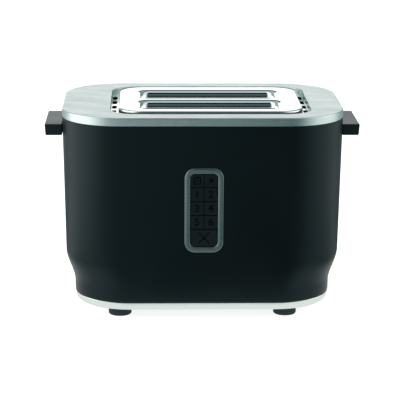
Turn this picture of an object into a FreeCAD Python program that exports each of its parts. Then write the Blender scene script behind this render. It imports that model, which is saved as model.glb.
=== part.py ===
import FreeCAD, Part
import math
import os

# Two-slice toaster in millimetres. +Z is up, the keypad faces -Y, and the origin is on the
# floor under the middle of the body.

Vector = FreeCAD.Vector
PARTS_FOLDER = "parts"

# Outer form
COVER_WIDTH = 272.0
COVER_DEPTH = 192.4
COVER_CORNER = 57.0
TOTAL_HEIGHT = 200.0
RIM_HEIGHT = 8.0
COVER_SHEET = 1.2
COVER_EDGE_ROUND = 0.9
HOUSING_WALL = 2.5
HOUSING_BOTTOM = 18.5
DRAFT_DEG = 1.1
WAIST_DROP = 7.8
WAIST_LOW = 29.0
WAIST_HIGH = 60.0
WAIST_STEPS = 6
LIP_HEIGHT = 4.0
LIP_THICKNESS = 2.4
LIP_CLEARANCE = 0.2

# Bread slots, slot plate and groove pan
CHAMBER_X = 7.0
SLOT_LENGTH = 130.0
SLOT_WIDTH = 31.0
SLOT_CORNER = 6.0
SLOT_PITCH = 55.6
FUNNEL_ROUND = 7.4
PLATE_OFFSET = 0.5
PLATE_END_MARGIN = 24.0
PLATE_SIDE_MARGIN = 23.7
PLATE_CORNER = 24.0
PLATE_SHEET = 1.2
PLATE_PROUD = 1.0
PLATE_EDGE_ROUND = 2.0
GROOVE_WIDTH = 8.0
GROOVE_DEPTH = 7.5
RECESS_CORNER = 27.0
PAN_SHEET = 1.2
PAN_MARGIN = 6.0
VENT_COUNT = 5
VENT_PITCH = 24.3
VENT_LENGTH = 16.0
VENT_WIDTH = 4.7
VENT_FROM_WALL = 3.3

# Base
RING_HEIGHT = 8.0
RING_STEP = 0.5
RING_BAND = 9.0
RING_ROUND = 5.0
BASE_FLOOR = 2.5
BASE_WALL = 2.0
BASE_LEDGE = 2.0
BASE_GAP = 0.5
BASE_LIFT = 1.0
BASE_VENTS = 6
BASE_VENT_PITCH = 18.0
BASE_VENT_WIDTH = 3.0
BASE_VENT_LENGTH = 26.0
BASE_VENT_Y = 36.0
FOOT_FROM_END = 55.5
FOOT_FROM_FRONT = 31.2
FOOT_DIAMETER = 22.4
FOOT_BEVEL = 1.5
FOOT_WELL_DIAMETER = 10.0
FOOT_WELL_DEPTH = 5.0
SCREW_DIAMETER = 4.0
SCREW_HEAD_DIAMETER = 8.0
SCREW_HEAD_HEIGHT = 2.5
SCREW_GRIP = 5.0
SCREW_BOSS_WALL = 3.0
GLAND_FROM_END = 36.0
GLAND_FROM_BACK = 52.2
GLAND_BORE = 6.4
GLAND_BODY = 10.0
GLAND_FLANGE = 14.0
GLAND_FLANGE_THICKNESS = 2.0

# Inner frame and heating
FRAME_SHEET = 1.0
FRAME_END_ROOM = 6.0
FRAME_SIDE_ROOM = 1.2
BOARD_FROM_SLOT = 7.5
BOARD_LIFT = 48.0
BOARD_HEADROOM = 9.3
BOARD_THICKNESS = 0.8
BOARD_SHOULDER = 6.0
BOARD_TAB_HEIGHT = 10.0
RIBBON_TURNS = 10
RIBBON_WIDTH = 2.0
RIBBON_THICKNESS = 0.4
REFLECTOR_FROM_BOARD = 5.2
REFLECTOR_SHEET = 0.8
REFLECTOR_FLANGE = 6.0
REFLECTOR_OVER_TRAY = 1.8
REFLECTOR_HEADROOM = 4.3

# Bread guards
GUARD_SETBACK = 0.5
GUARD_STROKE = 7.8
GUARD_BAR = 2.2
GUARD_STRIP_WIDTH = 2.0
GUARD_STRIP = 0.8
GUARD_STRIPS = 9
GUARD_HEADROOM = 7.3
GUARD_LIFT = 46.0
GUARD_END_MARGIN = 6.0
GUARD_OVERHANG = 1.4

# Carriage
RACK_DEPTH = 72.0
RACK_HEIGHT = 10.0
RACK_WEB = 1.2
RACK_TEETH = 11
RACK_TOOTH_WIDTH = 5.0
RACK_END_MARGIN = 12.0
GRIP_LENGTH = 72.0
GRIP_HEIGHT = 11.0
GRIP_TOP_DROP = 17.6
GRIP_OVERHANG = 17.6
GRIP_GAP = 0.8
GRIP_LEAN = 0.9
GRIP_BEVEL = 0.8
TONGUE_THICKNESS = 3.0
TONGUE_HEIGHT = 9.0
TONGUE_GRASP = 11.0
TONGUE_PLAY = 0.8
ROD_DIAMETER = 6.0
ROD_END_BAND = 20.0
ROD_SEAT = 12.0
BUSH_DIAMETER = 12.0
BUSH_HEIGHT = 34.0
BUSH_CLEARANCE = 0.05
BRACKET_OFFSET = 13.0
BRACKET_SHEET = 2.0
BRACKET_EDGE = 5.2
BRACKET_NECK = 12.0
BRACKET_SHOULDER = 26.0
TOP_STOP_GAP = 0.5
TAB_DROP = 4.5
TAB_SHEET = 1.2
TAB_WIDTH = 22.0
TAB_MARGIN = 8.0
RUNNING_GAP = 0.3
SPRING_Y = 14.0
SPRING_RADIUS = 3.6
SPRING_WIRE = 1.0
SPRING_TURNS = 6
EAR_DROP = 46.0
EAR_THICKNESS = 2.0

# Holding magnet
MAGNET_Y = -24.0
MAGNET_LENGTH = 22.0
MAGNET_DEPTH = 12.0
MAGNET_HEIGHT = 23.2
MAGNET_YOKE = 4.0
MAGNET_LEG = 6.0
MAGNET_SIDE_LEG = 3.5
COIL_WALL = 4.0
COIL_GAP = 0.2
ARMATURE_THICKNESS = 2.5
ARMATURE_FLANGE = 2.0

# Keypad, drawn in the plane of the front face
PANEL_DROP = 89.5
BEZEL_WIDTH = 37.0
BEZEL_HEIGHT = 82.6
BEZEL_CORNER = 10.0
BEZEL_BAND = 5.2
BEZEL_PROUD = 0.7
BEZEL_LENGTH = 4.7
BEZEL_EDGE_ROUND = 0.8
BEZEL_FIT = 0.2
KEY_ROWS = 4
KEY_PITCH = 13.65
KEY_GAP = 0.6
KEY_SIDE_GAP = 0.4
KEY_SINK = 0.5
KEY_THICKNESS = 3.0
KEY_TRAVEL = 0.8
KEY_BEVEL = 0.35
STEM_SIZE = 5.0
CARRIER_MARGIN = 4.0
CARRIER_THICKNESS = 2.5
CARRIER_STEP = 1.2
POST_LENGTH = 6.0
POST_DIAMETER = 5.0
POST_FROM_SIDE = 1.5
POST_FROM_TOP = 3.3
CIRCUIT_THICKNESS = 1.6
SWITCH_SIZE = 6.0
SWITCH_HEIGHT = 2.4

# Power board
POWER_FROM_FRAME = 6.0
POWER_FROM_END = 24.0
POWER_Y = -46.0
POWER_HEIGHT = 58.0
CLIP_SIZE = 6.0
CLIP_HEIGHT = 10.0
CLIP_FIT = 0.1
RELAY_LENGTH = 16.0
RELAY_HEIGHT = 18.0
RELAY_DEPTH = 10.0
TRANSFORMER_LENGTH = 16.0
TRANSFORMER_HEIGHT = 20.0
TRANSFORMER_DEPTH = 14.0
CAPACITOR_DIAMETER = 9.0
CAPACITOR_LENGTH = 12.0
COMPONENT_GAP = 2.0

# Crumb tray
TRAY_SIDE_GAP = 1.0
TRAY_FRONT_REACH = 2.0
TRAY_SHEET = 0.8
TRAY_HEIGHT = 9.0
TRAY_FACE_OVERLAP = 1.0
TRAY_FACE_HEIGHT = 12.0
TRAY_FACE_THICKNESS = 2.4
TRAY_FACE_GAP = 0.4
TRAY_LIP_WIDTH = 40.0
TRAY_LIP_REACH = 3.0
TRAY_LIP_THICKNESS = 2.0
RUNNER_WIDTH = 4.0
RUNNER_INSET = 20.0

# Levels worked out from the sizes above
HOUSING_TOP = TOTAL_HEIGHT - RIM_HEIGHT
RING_TOP = HOUSING_BOTTOM
RING_BOTTOM = RING_TOP - RING_HEIGHT
FLOOR_BOTTOM = RING_BOTTOM + BASE_LIFT
FLOOR_TOP = FLOOR_BOTTOM + BASE_FLOOR
LEDGE_TOP = RING_TOP + BASE_LEDGE
PAN_TOP = TOTAL_HEIGHT - GROOVE_DEPTH
PAN_BOTTOM = PAN_TOP - PAN_SHEET
PLATE_TOP = TOTAL_HEIGHT + PLATE_PROUD
TAB_BOTTOM = PAN_BOTTOM - TAB_DROP
TRAY_BOTTOM = LEDGE_TOP + RUNNING_GAP
TRAY_WINDOW_TOP = TRAY_BOTTOM + TRAY_FACE_HEIGHT + TRAY_FACE_GAP
REFLECTOR_BOTTOM = TRAY_WINDOW_TOP + REFLECTOR_OVER_TRAY
REFLECTOR_TOP = PAN_BOTTOM - REFLECTOR_HEADROOM
BOARD_BOTTOM = FLOOR_TOP + BOARD_LIFT
BOARD_TOP = PAN_BOTTOM - BOARD_HEADROOM
GUARD_BOTTOM_Z = FLOOR_TOP + GUARD_LIFT
GUARD_TOP_Z = PAN_BOTTOM - GUARD_HEADROOM
GRIP_TOP = TOTAL_HEIGHT - GRIP_TOP_DROP
GRIP_BOTTOM = GRIP_TOP - GRIP_HEIGHT
TONGUE_Z = GRIP_TOP - GRIP_HEIGHT / 2
BUSH_TOP = TAB_BOTTOM - TOP_STOP_GAP
EAR_TOP = TAB_BOTTOM - EAR_DROP
RACK_TOP = TOTAL_HEIGHT - RACK_DEPTH
BRACKET_BOTTOM = RACK_TOP - RACK_HEIGHT
ARMATURE_BOTTOM = BRACKET_BOTTOM - ARMATURE_THICKNESS
MAGNET_TOP = FLOOR_TOP + MAGNET_HEIGHT
TRAVEL = ARMATURE_BOTTOM - RUNNING_GAP - MAGNET_TOP
PANEL_Z = TOTAL_HEIGHT - PANEL_DROP

# Places and widths worked out from the sizes above
SLOT_YS = (-SLOT_PITCH / 2, SLOT_PITCH / 2)
PLATE_X = CHAMBER_X + PLATE_OFFSET
PLATE_WIDTH = SLOT_LENGTH + 2 * PLATE_END_MARGIN
PLATE_DEPTH = SLOT_PITCH + SLOT_WIDTH + 2 * PLATE_SIDE_MARGIN
RECESS_WIDTH = PLATE_WIDTH + 2 * GROOVE_WIDTH
RECESS_DEPTH = PLATE_DEPTH + 2 * GROOVE_WIDTH
FRAME_LENGTH = SLOT_LENGTH + 2 * FRAME_END_ROOM
FRAME_LEFT = CHAMBER_X - FRAME_LENGTH / 2
FRAME_RIGHT = CHAMBER_X + FRAME_LENGTH / 2
BOARD_OUTER_Y = (SLOT_PITCH + SLOT_WIDTH) / 2 + BOARD_FROM_SLOT
REFLECTOR_Y = BOARD_OUTER_Y + REFLECTOR_FROM_BOARD
FRAME_HALF_DEPTH = REFLECTOR_Y + REFLECTOR_SHEET + REFLECTOR_FLANGE + FRAME_SIDE_ROOM
GUARD_OPEN = SLOT_WIDTH / 2 - GUARD_SETBACK
RACK_TOOTH_REACH = GUARD_OPEN - GUARD_STROKE - GUARD_BAR / 2 - 2 * RUNNING_GAP
BRACKET_HALF_DEPTH = SLOT_PITCH / 2 + BRACKET_EDGE
BRACKET_REACH = FRAME_LENGTH / 2 + FRAME_SHEET + BRACKET_OFFSET
ROD_ROOM = COVER_WIDTH / 2 - ROD_END_BAND - CHAMBER_X - BRACKET_REACH
ROD_REACH = BRACKET_REACH + ROD_ROOM / 2
GRIP_FAR_X = COVER_WIDTH / 2 + GRIP_OVERHANG
FOOT_X = COVER_WIDTH / 2 - FOOT_FROM_END
FOOT_Y = COVER_DEPTH / 2 - FOOT_FROM_FRONT
GLAND_X = GLAND_FROM_END - COVER_WIDTH / 2
GLAND_Y = COVER_DEPTH / 2 - GLAND_FROM_BACK
POWER_RIGHT = FRAME_LEFT - POWER_FROM_FRAME
POWER_LEFT = POWER_FROM_END - COVER_WIDTH / 2
POWER_X = (POWER_LEFT + POWER_RIGHT) / 2
TRAY_WIDTH = FRAME_LENGTH - 2 * TRAY_SIDE_GAP
TRAY_FACE_WIDTH = TRAY_WIDTH + 2 * TRAY_FACE_OVERLAP
TRAY_FRONT = -REFLECTOR_Y - TRAY_FRONT_REACH
OPENING_WIDTH = BEZEL_WIDTH - 2 * BEZEL_BAND
OPENING_HEIGHT = BEZEL_HEIGHT - 2 * BEZEL_BAND
OPENING_CORNER = BEZEL_CORNER - BEZEL_BAND
BEZEL_BACK = BEZEL_LENGTH - BEZEL_PROUD
POCKET_FLOOR = BEZEL_BACK + CARRIER_STEP
CARRIER_BACK = POCKET_FLOOR + CARRIER_THICKNESS
BOARD_FACE = CARRIER_BACK + POST_LENGTH
POST_HALF_WIDTH = BEZEL_WIDTH / 2 - POST_FROM_SIDE
POST_HALF_HEIGHT = BEZEL_HEIGHT / 2 - POST_FROM_TOP


# Shared shapes
def block(x0, x1, y0, y1, z0, z1):
    return Part.makeBox(x1 - x0, y1 - y0, z1 - z0, Vector(x0, y0, z0))


def rod(diameter, start, end):
    direction = end - start
    return Part.makeCylinder(diameter / 2, direction.Length, start, direction)


def fuse(shapes):
    return shapes[0].multiFuse(shapes[1:]).removeSplitter() if len(shapes) > 1 else shapes[0]


def rounded_wire(width, depth, corner, z, cx=0.0, cy=0.0):
    """Closed outline in a level plane: four sides joined by four corner arcs."""
    turn = corner * (1 - math.sqrt(0.5))
    edges = []
    for sx, sy in ((1, 1), (-1, 1), (-1, -1), (1, -1)):
        x = cx + sx * width / 2
        y = cy + sy * depth / 2
        upright = Vector(x, y - sy * corner, z)
        level = Vector(x - sx * corner, y, z)
        middle = Vector(x - sx * turn, y - sy * turn, z)
        ends = (upright, level) if sx * sy > 0 else (level, upright)
        edges.append((ends[0], middle, ends[1]))
    parts = []
    for index, (start, middle, end) in enumerate(edges):
        parts.append(Part.Arc(start, middle, end).toShape())
        following = edges[(index + 1) % len(edges)][0]
        parts.append(Part.LineSegment(end, following).toShape())
    return Part.Wire(parts)


def rounded_plate(width, depth, corner, z0, z1, cx=0.0, cy=0.0):
    face = Part.Face(rounded_wire(width, depth, corner, z0, cx, cy))
    return face.extrude(Vector(0, 0, z1 - z0))


def round_level_edges(shape, radius, z, low, high):
    """Rounds the edges that lie wholly at height z between two corners of a plan box."""
    chosen = []
    for edge in shape.Edges:
        bounds = edge.BoundBox
        level = abs(bounds.ZMin - z) < 0.01 and abs(bounds.ZMax - z) < 0.01
        inside_x = bounds.XMin > low[0] - 0.01 and bounds.XMax < high[0] + 0.01
        inside_y = bounds.YMin > low[1] - 0.01 and bounds.YMax < high[1] + 0.01
        if level and inside_x and inside_y:
            chosen.append(edge)
    return shape.makeFillet(radius, chosen)


# Housing
def draft_inset(z):
    """How far the drafted walls have come in at height z."""
    return (HOUSING_TOP - z) * math.tan(math.radians(DRAFT_DEG))


def housing_half_width(z):
    share = min(1.0, max(0.0, (z - WAIST_LOW) / (WAIST_HIGH - WAIST_LOW)))
    waist = WAIST_DROP * (1 - share * share * (3 - 2 * share))
    return COVER_WIDTH / 2 - draft_inset(z) - waist


def housing_half_depth(z):
    return COVER_DEPTH / 2 - draft_inset(z)


def housing_corner(z):
    return COVER_CORNER - draft_inset(z)


def housing_wire(z, inset):
    width = 2 * (housing_half_width(z) - inset)
    depth = 2 * (housing_half_depth(z) - inset)
    return rounded_wire(width, depth, housing_corner(z) - inset, z)


def housing_plate(z0, z1, inset):
    """Level plate whose outline is the housing's at z0, moved in by inset."""
    return Part.Face(housing_wire(z0, inset)).extrude(Vector(0, 0, z1 - z0))


def waist_form():
    """Lower part of the body, a smooth loft through the S-shaped waist."""
    rise = (WAIST_HIGH - HOUSING_BOTTOM) / WAIST_STEPS
    levels = [HOUSING_BOTTOM + step * rise for step in range(WAIST_STEPS + 1)]
    return Part.makeLoft([housing_wire(z, 0.0) for z in levels], True, False)


def waist_hollow():
    """Its inside, which goes straight from level to level."""
    levels = (HOUSING_BOTTOM, WAIST_LOW, WAIST_HIGH)
    return Part.makeLoft([housing_wire(z, HOUSING_WALL) for z in levels], True, True)


def straight_form(inset):
    """Upper part of the body: flat faces and cone-shaped corners that lean in by the draft."""
    low = WAIST_HIGH
    high = HOUSING_TOP
    flat_x = COVER_WIDTH / 2 - COVER_CORNER
    flat_y = COVER_DEPTH / 2 - COVER_CORNER
    pieces = []
    for sx in (-1, 1):
        for sy in (-1, 1):
            pieces.append(Part.makeCone(
                housing_corner(low) - inset, housing_corner(high) - inset, high - low,
                Vector(sx * flat_x, sy * flat_y, low)))
    levels = ((low, -1), (low, 1), (high, 1), (high, -1), (low, -1))
    across = [Vector(-flat_x, side * (housing_half_depth(z) - inset), z) for z, side in levels]
    along = [Vector(side * (housing_half_width(z) - inset), -flat_y, z) for z, side in levels]
    pieces.append(Part.Face(Part.makePolygon(across)).extrude(Vector(2 * flat_x, 0, 0)))
    pieces.append(Part.Face(Part.makePolygon(along)).extrude(Vector(0, 2 * flat_y, 0)))
    return fuse(pieces)


def make_outer_housing():
    lower = waist_form().cut(waist_hollow())
    upper = straight_form(0.0).cut(straight_form(HOUSING_WALL))
    shell = lower.fuse(upper)
    lip_inset = COVER_SHEET + LIP_CLEARANCE
    lip_bottom = HOUSING_TOP - LIP_HEIGHT
    lip_top = HOUSING_TOP + LIP_HEIGHT
    lip = rounded_plate(
        COVER_WIDTH - 2 * lip_inset, COVER_DEPTH - 2 * lip_inset,
        COVER_CORNER - lip_inset, lip_bottom, lip_top)
    hollow = lip_inset + LIP_THICKNESS
    lip = lip.cut(rounded_plate(
        COVER_WIDTH - 2 * hollow, COVER_DEPTH - 2 * hollow,
        COVER_CORNER - hollow, lip_bottom, lip_top))
    shell = shell.fuse(lip).removeSplitter()
    slot_half = TONGUE_THICKNESS / 2 + TONGUE_PLAY
    slot_bottom = TONGUE_Z - TONGUE_HEIGHT / 2 - TRAVEL - 2 * TONGUE_PLAY
    slot_top = TONGUE_Z + TONGUE_HEIGHT / 2 + 2 * TONGUE_PLAY
    lever_slots = block(-GRIP_FAR_X, GRIP_FAR_X, -slot_half, slot_half, slot_bottom, slot_top)
    window = on_front(panel_plate(
        BEZEL_WIDTH + 2 * BEZEL_FIT, BEZEL_HEIGHT + 2 * BEZEL_FIT,
        BEZEL_CORNER + BEZEL_FIT, -HOUSING_WALL, 2 * HOUSING_WALL))
    half_face = TRAY_FACE_WIDTH / 2 + TRAY_FACE_GAP
    tray_window = block(
        CHAMBER_X - half_face, CHAMBER_X + half_face, 0, COVER_DEPTH,
        TRAY_BOTTOM - TRAY_FACE_GAP / 2, TRAY_WINDOW_TOP)
    return shell.cut(lever_slots).cut(window).cut(tray_window)


# Cover, groove pan and slot plate
def make_top_cover():
    corner = (COVER_WIDTH / 2, COVER_DEPTH / 2)
    shell = rounded_plate(COVER_WIDTH, COVER_DEPTH, COVER_CORNER, HOUSING_TOP, TOTAL_HEIGHT)
    shell = shell.cut(rounded_plate(
        RECESS_WIDTH, RECESS_DEPTH, RECESS_CORNER, HOUSING_TOP, TOTAL_HEIGHT, PLATE_X))
    shell = round_level_edges(
        shell, COVER_EDGE_ROUND, TOTAL_HEIGHT, (-corner[0], -corner[1]), corner)
    hollow = rounded_plate(
        COVER_WIDTH - 2 * COVER_SHEET, COVER_DEPTH - 2 * COVER_SHEET,
        COVER_CORNER - COVER_SHEET, HOUSING_TOP, TOTAL_HEIGHT - COVER_SHEET)
    hollow = hollow.cut(rounded_plate(
        RECESS_WIDTH + 2 * COVER_SHEET, RECESS_DEPTH + 2 * COVER_SHEET,
        RECESS_CORNER + COVER_SHEET, PAN_TOP, TOTAL_HEIGHT, PLATE_X))
    return shell.cut(hollow)


def make_groove_pan():
    width = RECESS_WIDTH + 2 * PAN_MARGIN
    depth = RECESS_DEPTH + 2 * PAN_MARGIN
    pan = rounded_plate(
        width, depth, RECESS_CORNER + PAN_MARGIN, PAN_BOTTOM, PAN_TOP, PLATE_X)
    well_width = SLOT_LENGTH + 2 * PLATE_SHEET
    well_depth = SLOT_PITCH + SLOT_WIDTH + 2 * PLATE_SHEET
    pan = pan.cut(rounded_plate(
        well_width, well_depth, SLOT_CORNER, PAN_BOTTOM, PAN_TOP, CHAMBER_X))
    vents = []
    for side in (-1, 1):
        x = PLATE_X + side * (RECESS_WIDTH / 2 - VENT_FROM_WALL)
        for index in range(VENT_COUNT):
            y = (index - (VENT_COUNT - 1) / 2) * VENT_PITCH
            vents.append(rounded_plate(
                VENT_WIDTH, VENT_LENGTH, VENT_WIDTH / 2 - 0.01, PAN_BOTTOM, PAN_TOP, x, y))
    return pan.cut(Part.makeCompound(vents))


def make_slot_plate():
    """Drawn plate with two bread slots, whose lips roll down into the chambers."""
    plate = rounded_plate(
        PLATE_WIDTH, PLATE_DEPTH, PLATE_CORNER, PAN_TOP, PLATE_TOP, PLATE_X)
    rim = [edge for edge in plate.Edges if edge.BoundBox.ZMin > PLATE_TOP - 0.01]
    plate = plate.makeFillet(PLATE_EDGE_ROUND, rim)
    hollow = rounded_plate(
        PLATE_WIDTH - 2 * PLATE_EDGE_ROUND, PLATE_DEPTH - 2 * PLATE_EDGE_ROUND,
        PLATE_CORNER - PLATE_EDGE_ROUND, PAN_TOP, PLATE_TOP - PLATE_SHEET, PLATE_X)
    lip = 2 * FUNNEL_ROUND
    for y in SLOT_YS:
        plate = plate.cut(rounded_plate(
            SLOT_LENGTH, SLOT_WIDTH, SLOT_CORNER, PAN_TOP, PLATE_TOP, CHAMBER_X, y))
        low = (CHAMBER_X - SLOT_LENGTH / 2, y - SLOT_WIDTH / 2)
        high = (CHAMBER_X + SLOT_LENGTH / 2, y + SLOT_WIDTH / 2)
        plate = round_level_edges(plate, FUNNEL_ROUND, PLATE_TOP, low, high)
        hollow = hollow.cut(rounded_plate(
            SLOT_LENGTH + lip, SLOT_WIDTH + lip, SLOT_CORNER + FUNNEL_ROUND,
            PAN_TOP, PLATE_TOP, CHAMBER_X, y))
    return plate.cut(hollow)


# Base
def make_base_ring():
    ring = housing_plate(RING_TOP, RING_BOTTOM, RING_STEP)
    bounds = ring.BoundBox
    ring = round_level_edges(
        ring, RING_ROUND, RING_BOTTOM, (bounds.XMin, bounds.YMin), (bounds.XMax, bounds.YMax))
    return ring.cut(housing_plate(RING_TOP, RING_BOTTOM, RING_STEP + RING_BAND))


def foot_places():
    return [(sx * FOOT_X, sy * FOOT_Y) for sy in (-1, 1) for sx in (-1, 1)]


def make_base_plate():
    ledge = housing_plate(RING_TOP, LEDGE_TOP, HOUSING_WALL + BASE_GAP)
    plug = housing_plate(RING_TOP, FLOOR_BOTTOM, RING_STEP + RING_BAND)
    pocket = housing_plate(RING_TOP, FLOOR_TOP, RING_STEP + RING_BAND + BASE_WALL)
    upper_pocket = housing_plate(RING_TOP, LEDGE_TOP, RING_STEP + RING_BAND + BASE_WALL)
    base = ledge.fuse(plug).cut(pocket).cut(upper_pocket)
    half_tray = TRAY_WIDTH / 2 - RUNNER_INSET
    runner_half = REFLECTOR_Y
    inside_ring = housing_plate(RING_TOP, RING_TOP + ROD_SEAT, RING_STEP + RING_BAND).fuse(plug)
    added = []
    for side in (-1, 1):
        x = CHAMBER_X + side * half_tray
        added.append(block(
            x - RUNNER_WIDTH / 2, x + RUNNER_WIDTH / 2, -runner_half, runner_half,
            FLOOR_TOP, LEDGE_TOP))
        rod_x = rod_place(side)
        seat = rod(
            BUSH_DIAMETER, Vector(rod_x, 0, FLOOR_TOP), Vector(rod_x, 0, FLOOR_TOP + ROD_SEAT))
        added.append(seat.common(inside_ring))
    boss = SCREW_DIAMETER + 2 * SCREW_BOSS_WALL
    for x, y in foot_places():
        added.append(rod(boss, Vector(x, y, FLOOR_TOP), Vector(x, y, FLOOR_TOP + SCREW_GRIP)))
    for x in power_clip_places():
        added.append(block(
            x - CLIP_SIZE / 2, x + CLIP_SIZE / 2, POWER_Y - CLIP_SIZE / 2,
            POWER_Y + CLIP_SIZE / 2, FLOOR_TOP, FLOOR_TOP + CLIP_HEIGHT))
    base = fuse([base] + added)
    cuts = [power_board_blank(CLIP_FIT)]
    for side in (-1, 1):
        rod_x = rod_place(side)
        cuts.append(rod(
            ROD_DIAMETER + 2 * BUSH_CLEARANCE, Vector(rod_x, 0, FLOOR_TOP),
            Vector(rod_x, 0, FLOOR_TOP + ROD_SEAT)))
    hole = SCREW_DIAMETER + 2 * BUSH_CLEARANCE
    for x, y in foot_places():
        cuts.append(rod(
            hole, Vector(x, y, FLOOR_BOTTOM), Vector(x, y, FLOOR_TOP + SCREW_GRIP)))
    cuts.append(rod(
        GLAND_BODY, Vector(GLAND_X, GLAND_Y, FLOOR_BOTTOM), Vector(GLAND_X, GLAND_Y, FLOOR_TOP)))
    for side in (-1, 1):
        for index in range(BASE_VENTS):
            x = CHAMBER_X + (index - (BASE_VENTS - 1) / 2) * BASE_VENT_PITCH
            y = side * BASE_VENT_Y
            cuts.append(block(
                x - BASE_VENT_WIDTH / 2, x + BASE_VENT_WIDTH / 2,
                y - BASE_VENT_LENGTH / 2, y + BASE_VENT_LENGTH / 2, FLOOR_BOTTOM, FLOOR_TOP))
    for cut in cuts:
        base = base.cut(cut)
    return base


def make_foot(x, y):
    foot = rod(FOOT_DIAMETER, Vector(x, y, 0), Vector(x, y, FLOOR_BOTTOM))
    rim = [edge for edge in foot.Edges if edge.BoundBox.ZMax < 0.01]
    foot = foot.makeChamfer(FOOT_BEVEL, rim)
    well = rod(FOOT_WELL_DIAMETER, Vector(x, y, 0), Vector(x, y, FOOT_WELL_DEPTH))
    hole = rod(
        SCREW_DIAMETER + 2 * BUSH_CLEARANCE, Vector(x, y, 0), Vector(x, y, FLOOR_BOTTOM))
    return foot.cut(well).cut(hole)


def make_foot_screws():
    screws = []
    head_bottom = FOOT_WELL_DEPTH - SCREW_HEAD_HEIGHT
    for x, y in foot_places():
        head = rod(
            SCREW_HEAD_DIAMETER, Vector(x, y, head_bottom), Vector(x, y, FOOT_WELL_DEPTH))
        shank = rod(
            SCREW_DIAMETER, Vector(x, y, head_bottom), Vector(x, y, FLOOR_TOP + SCREW_GRIP))
        screws.append(head.fuse(shank).removeSplitter())
    return Part.makeCompound(screws)


def make_cord_gland():
    outline = [
        (GLAND_BORE / 2, FLOOR_BOTTOM - GLAND_FLANGE_THICKNESS),
        (GLAND_FLANGE / 2, FLOOR_BOTTOM - GLAND_FLANGE_THICKNESS),
        (GLAND_FLANGE / 2, FLOOR_BOTTOM),
        (GLAND_BODY / 2, FLOOR_BOTTOM),
        (GLAND_BODY / 2, FLOOR_TOP),
        (GLAND_FLANGE / 2, FLOOR_TOP),
        (GLAND_BODY / 2, FLOOR_TOP + GLAND_FLANGE_THICKNESS),
        (GLAND_BORE / 2, FLOOR_TOP + GLAND_FLANGE_THICKNESS),
    ]
    points = [Vector(GLAND_X + r, GLAND_Y, z) for r, z in outline]
    face = Part.Face(Part.makePolygon(points + points[:1]))
    return face.revolve(Vector(GLAND_X, GLAND_Y, 0), Vector(0, 0, 1), 360)


# Inner frame and heating
def rod_place(side):
    """X of the guide rod on the left (-1) or right (1), midway between bracket and end band."""
    return CHAMBER_X + side * ROD_REACH


def guard_places():
    """Name, slice centre, rest place in Y and the way it closes, for each bread guard."""
    places = []
    for row, y in zip(("front", "back"), SLOT_YS):
        for face, way in (("front", 1), ("back", -1)):
            places.append((f"guard_{row}_slot_{face}", y - way * GUARD_OPEN, way))
    return places


def make_end_plate(side):
    inner = CHAMBER_X + side * FRAME_LENGTH / 2
    outer = inner + side * FRAME_SHEET
    x0, x1 = min(inner, outer), max(inner, outer)
    plate = block(x0, x1, -FRAME_HALF_DEPTH, FRAME_HALF_DEPTH, FLOOR_TOP, PAN_BOTTOM)
    tab_end = rod_place(side) + side * TAB_MARGIN
    t0, t1 = min(outer, tab_end), max(outer, tab_end)
    tab_bottoms = (TAB_BOTTOM, FLOOR_TOP + ROD_SEAT)
    tabs = [
        block(t0, t1, -TAB_WIDTH / 2, TAB_WIDTH / 2, z, z + TAB_SHEET) for z in tab_bottoms]
    plate = fuse([plate] + tabs)
    cuts = [rod(
        ROD_DIAMETER + 2 * BUSH_CLEARANCE, Vector(rod_place(side), 0, FLOOR_TOP),
        Vector(rod_place(side), 0, PAN_BOTTOM))]
    notch = FOOT_Y - SCREW_DIAMETER / 2 - SCREW_BOSS_WALL - 2 * RUNNING_GAP
    notch_top = FLOOR_TOP + SCREW_GRIP + 2 * RUNNING_GAP
    for sy in (-1, 1):
        cuts.append(block(
            x0, x1, min(sy * notch, sy * COVER_DEPTH), max(sy * notch, sy * COVER_DEPTH),
            FLOOR_TOP, notch_top))
    for y in SLOT_YS:
        half_slot = RACK_WEB / 2 + 2 * RUNNING_GAP
        cuts.append(block(
            x0, x1, y - half_slot, y + half_slot,
            RACK_TOP - RACK_HEIGHT - TRAVEL - 2 * RUNNING_GAP, RACK_TOP + 2 * RUNNING_GAP))
    reach = GUARD_BAR / 2 + RUNNING_GAP
    for _, y, way in guard_places():
        low = min(y, y + way * GUARD_STROKE) - reach
        high = max(y, y + way * GUARD_STROKE) + reach
        for z in (GUARD_TOP_Z, GUARD_BOTTOM_Z):
            cuts.append(block(x0, x1, low, high, z - reach, z + reach))
    for cut in cuts:
        plate = plate.cut(cut)
    return plate


def make_reflector(side):
    y0 = side * REFLECTOR_Y
    y1 = y0 + side * REFLECTOR_SHEET
    y2 = y1 + side * REFLECTOR_FLANGE
    sheet = block(
        FRAME_LEFT, FRAME_RIGHT, min(y0, y1), max(y0, y1), REFLECTOR_BOTTOM, REFLECTOR_TOP)
    flanges = [
        block(FRAME_LEFT, FRAME_RIGHT, min(y0, y2), max(y0, y2), z, z + REFLECTOR_SHEET)
        for z in (REFLECTOR_BOTTOM, REFLECTOR_TOP - REFLECTOR_SHEET)]
    return fuse([sheet] + flanges)


def make_heater_board(y):
    half = BOARD_THICKNESS / 2
    core = block(
        FRAME_LEFT + BOARD_SHOULDER, FRAME_RIGHT - BOARD_SHOULDER,
        y - half, y + half, BOARD_BOTTOM, BOARD_TOP)
    tabs = [
        block(FRAME_LEFT, FRAME_RIGHT, y - half, y + half, z, z + BOARD_TAB_HEIGHT)
        for z in (BOARD_BOTTOM, BOARD_TOP - BOARD_TAB_HEIGHT)]
    return fuse([core] + tabs)


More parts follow.
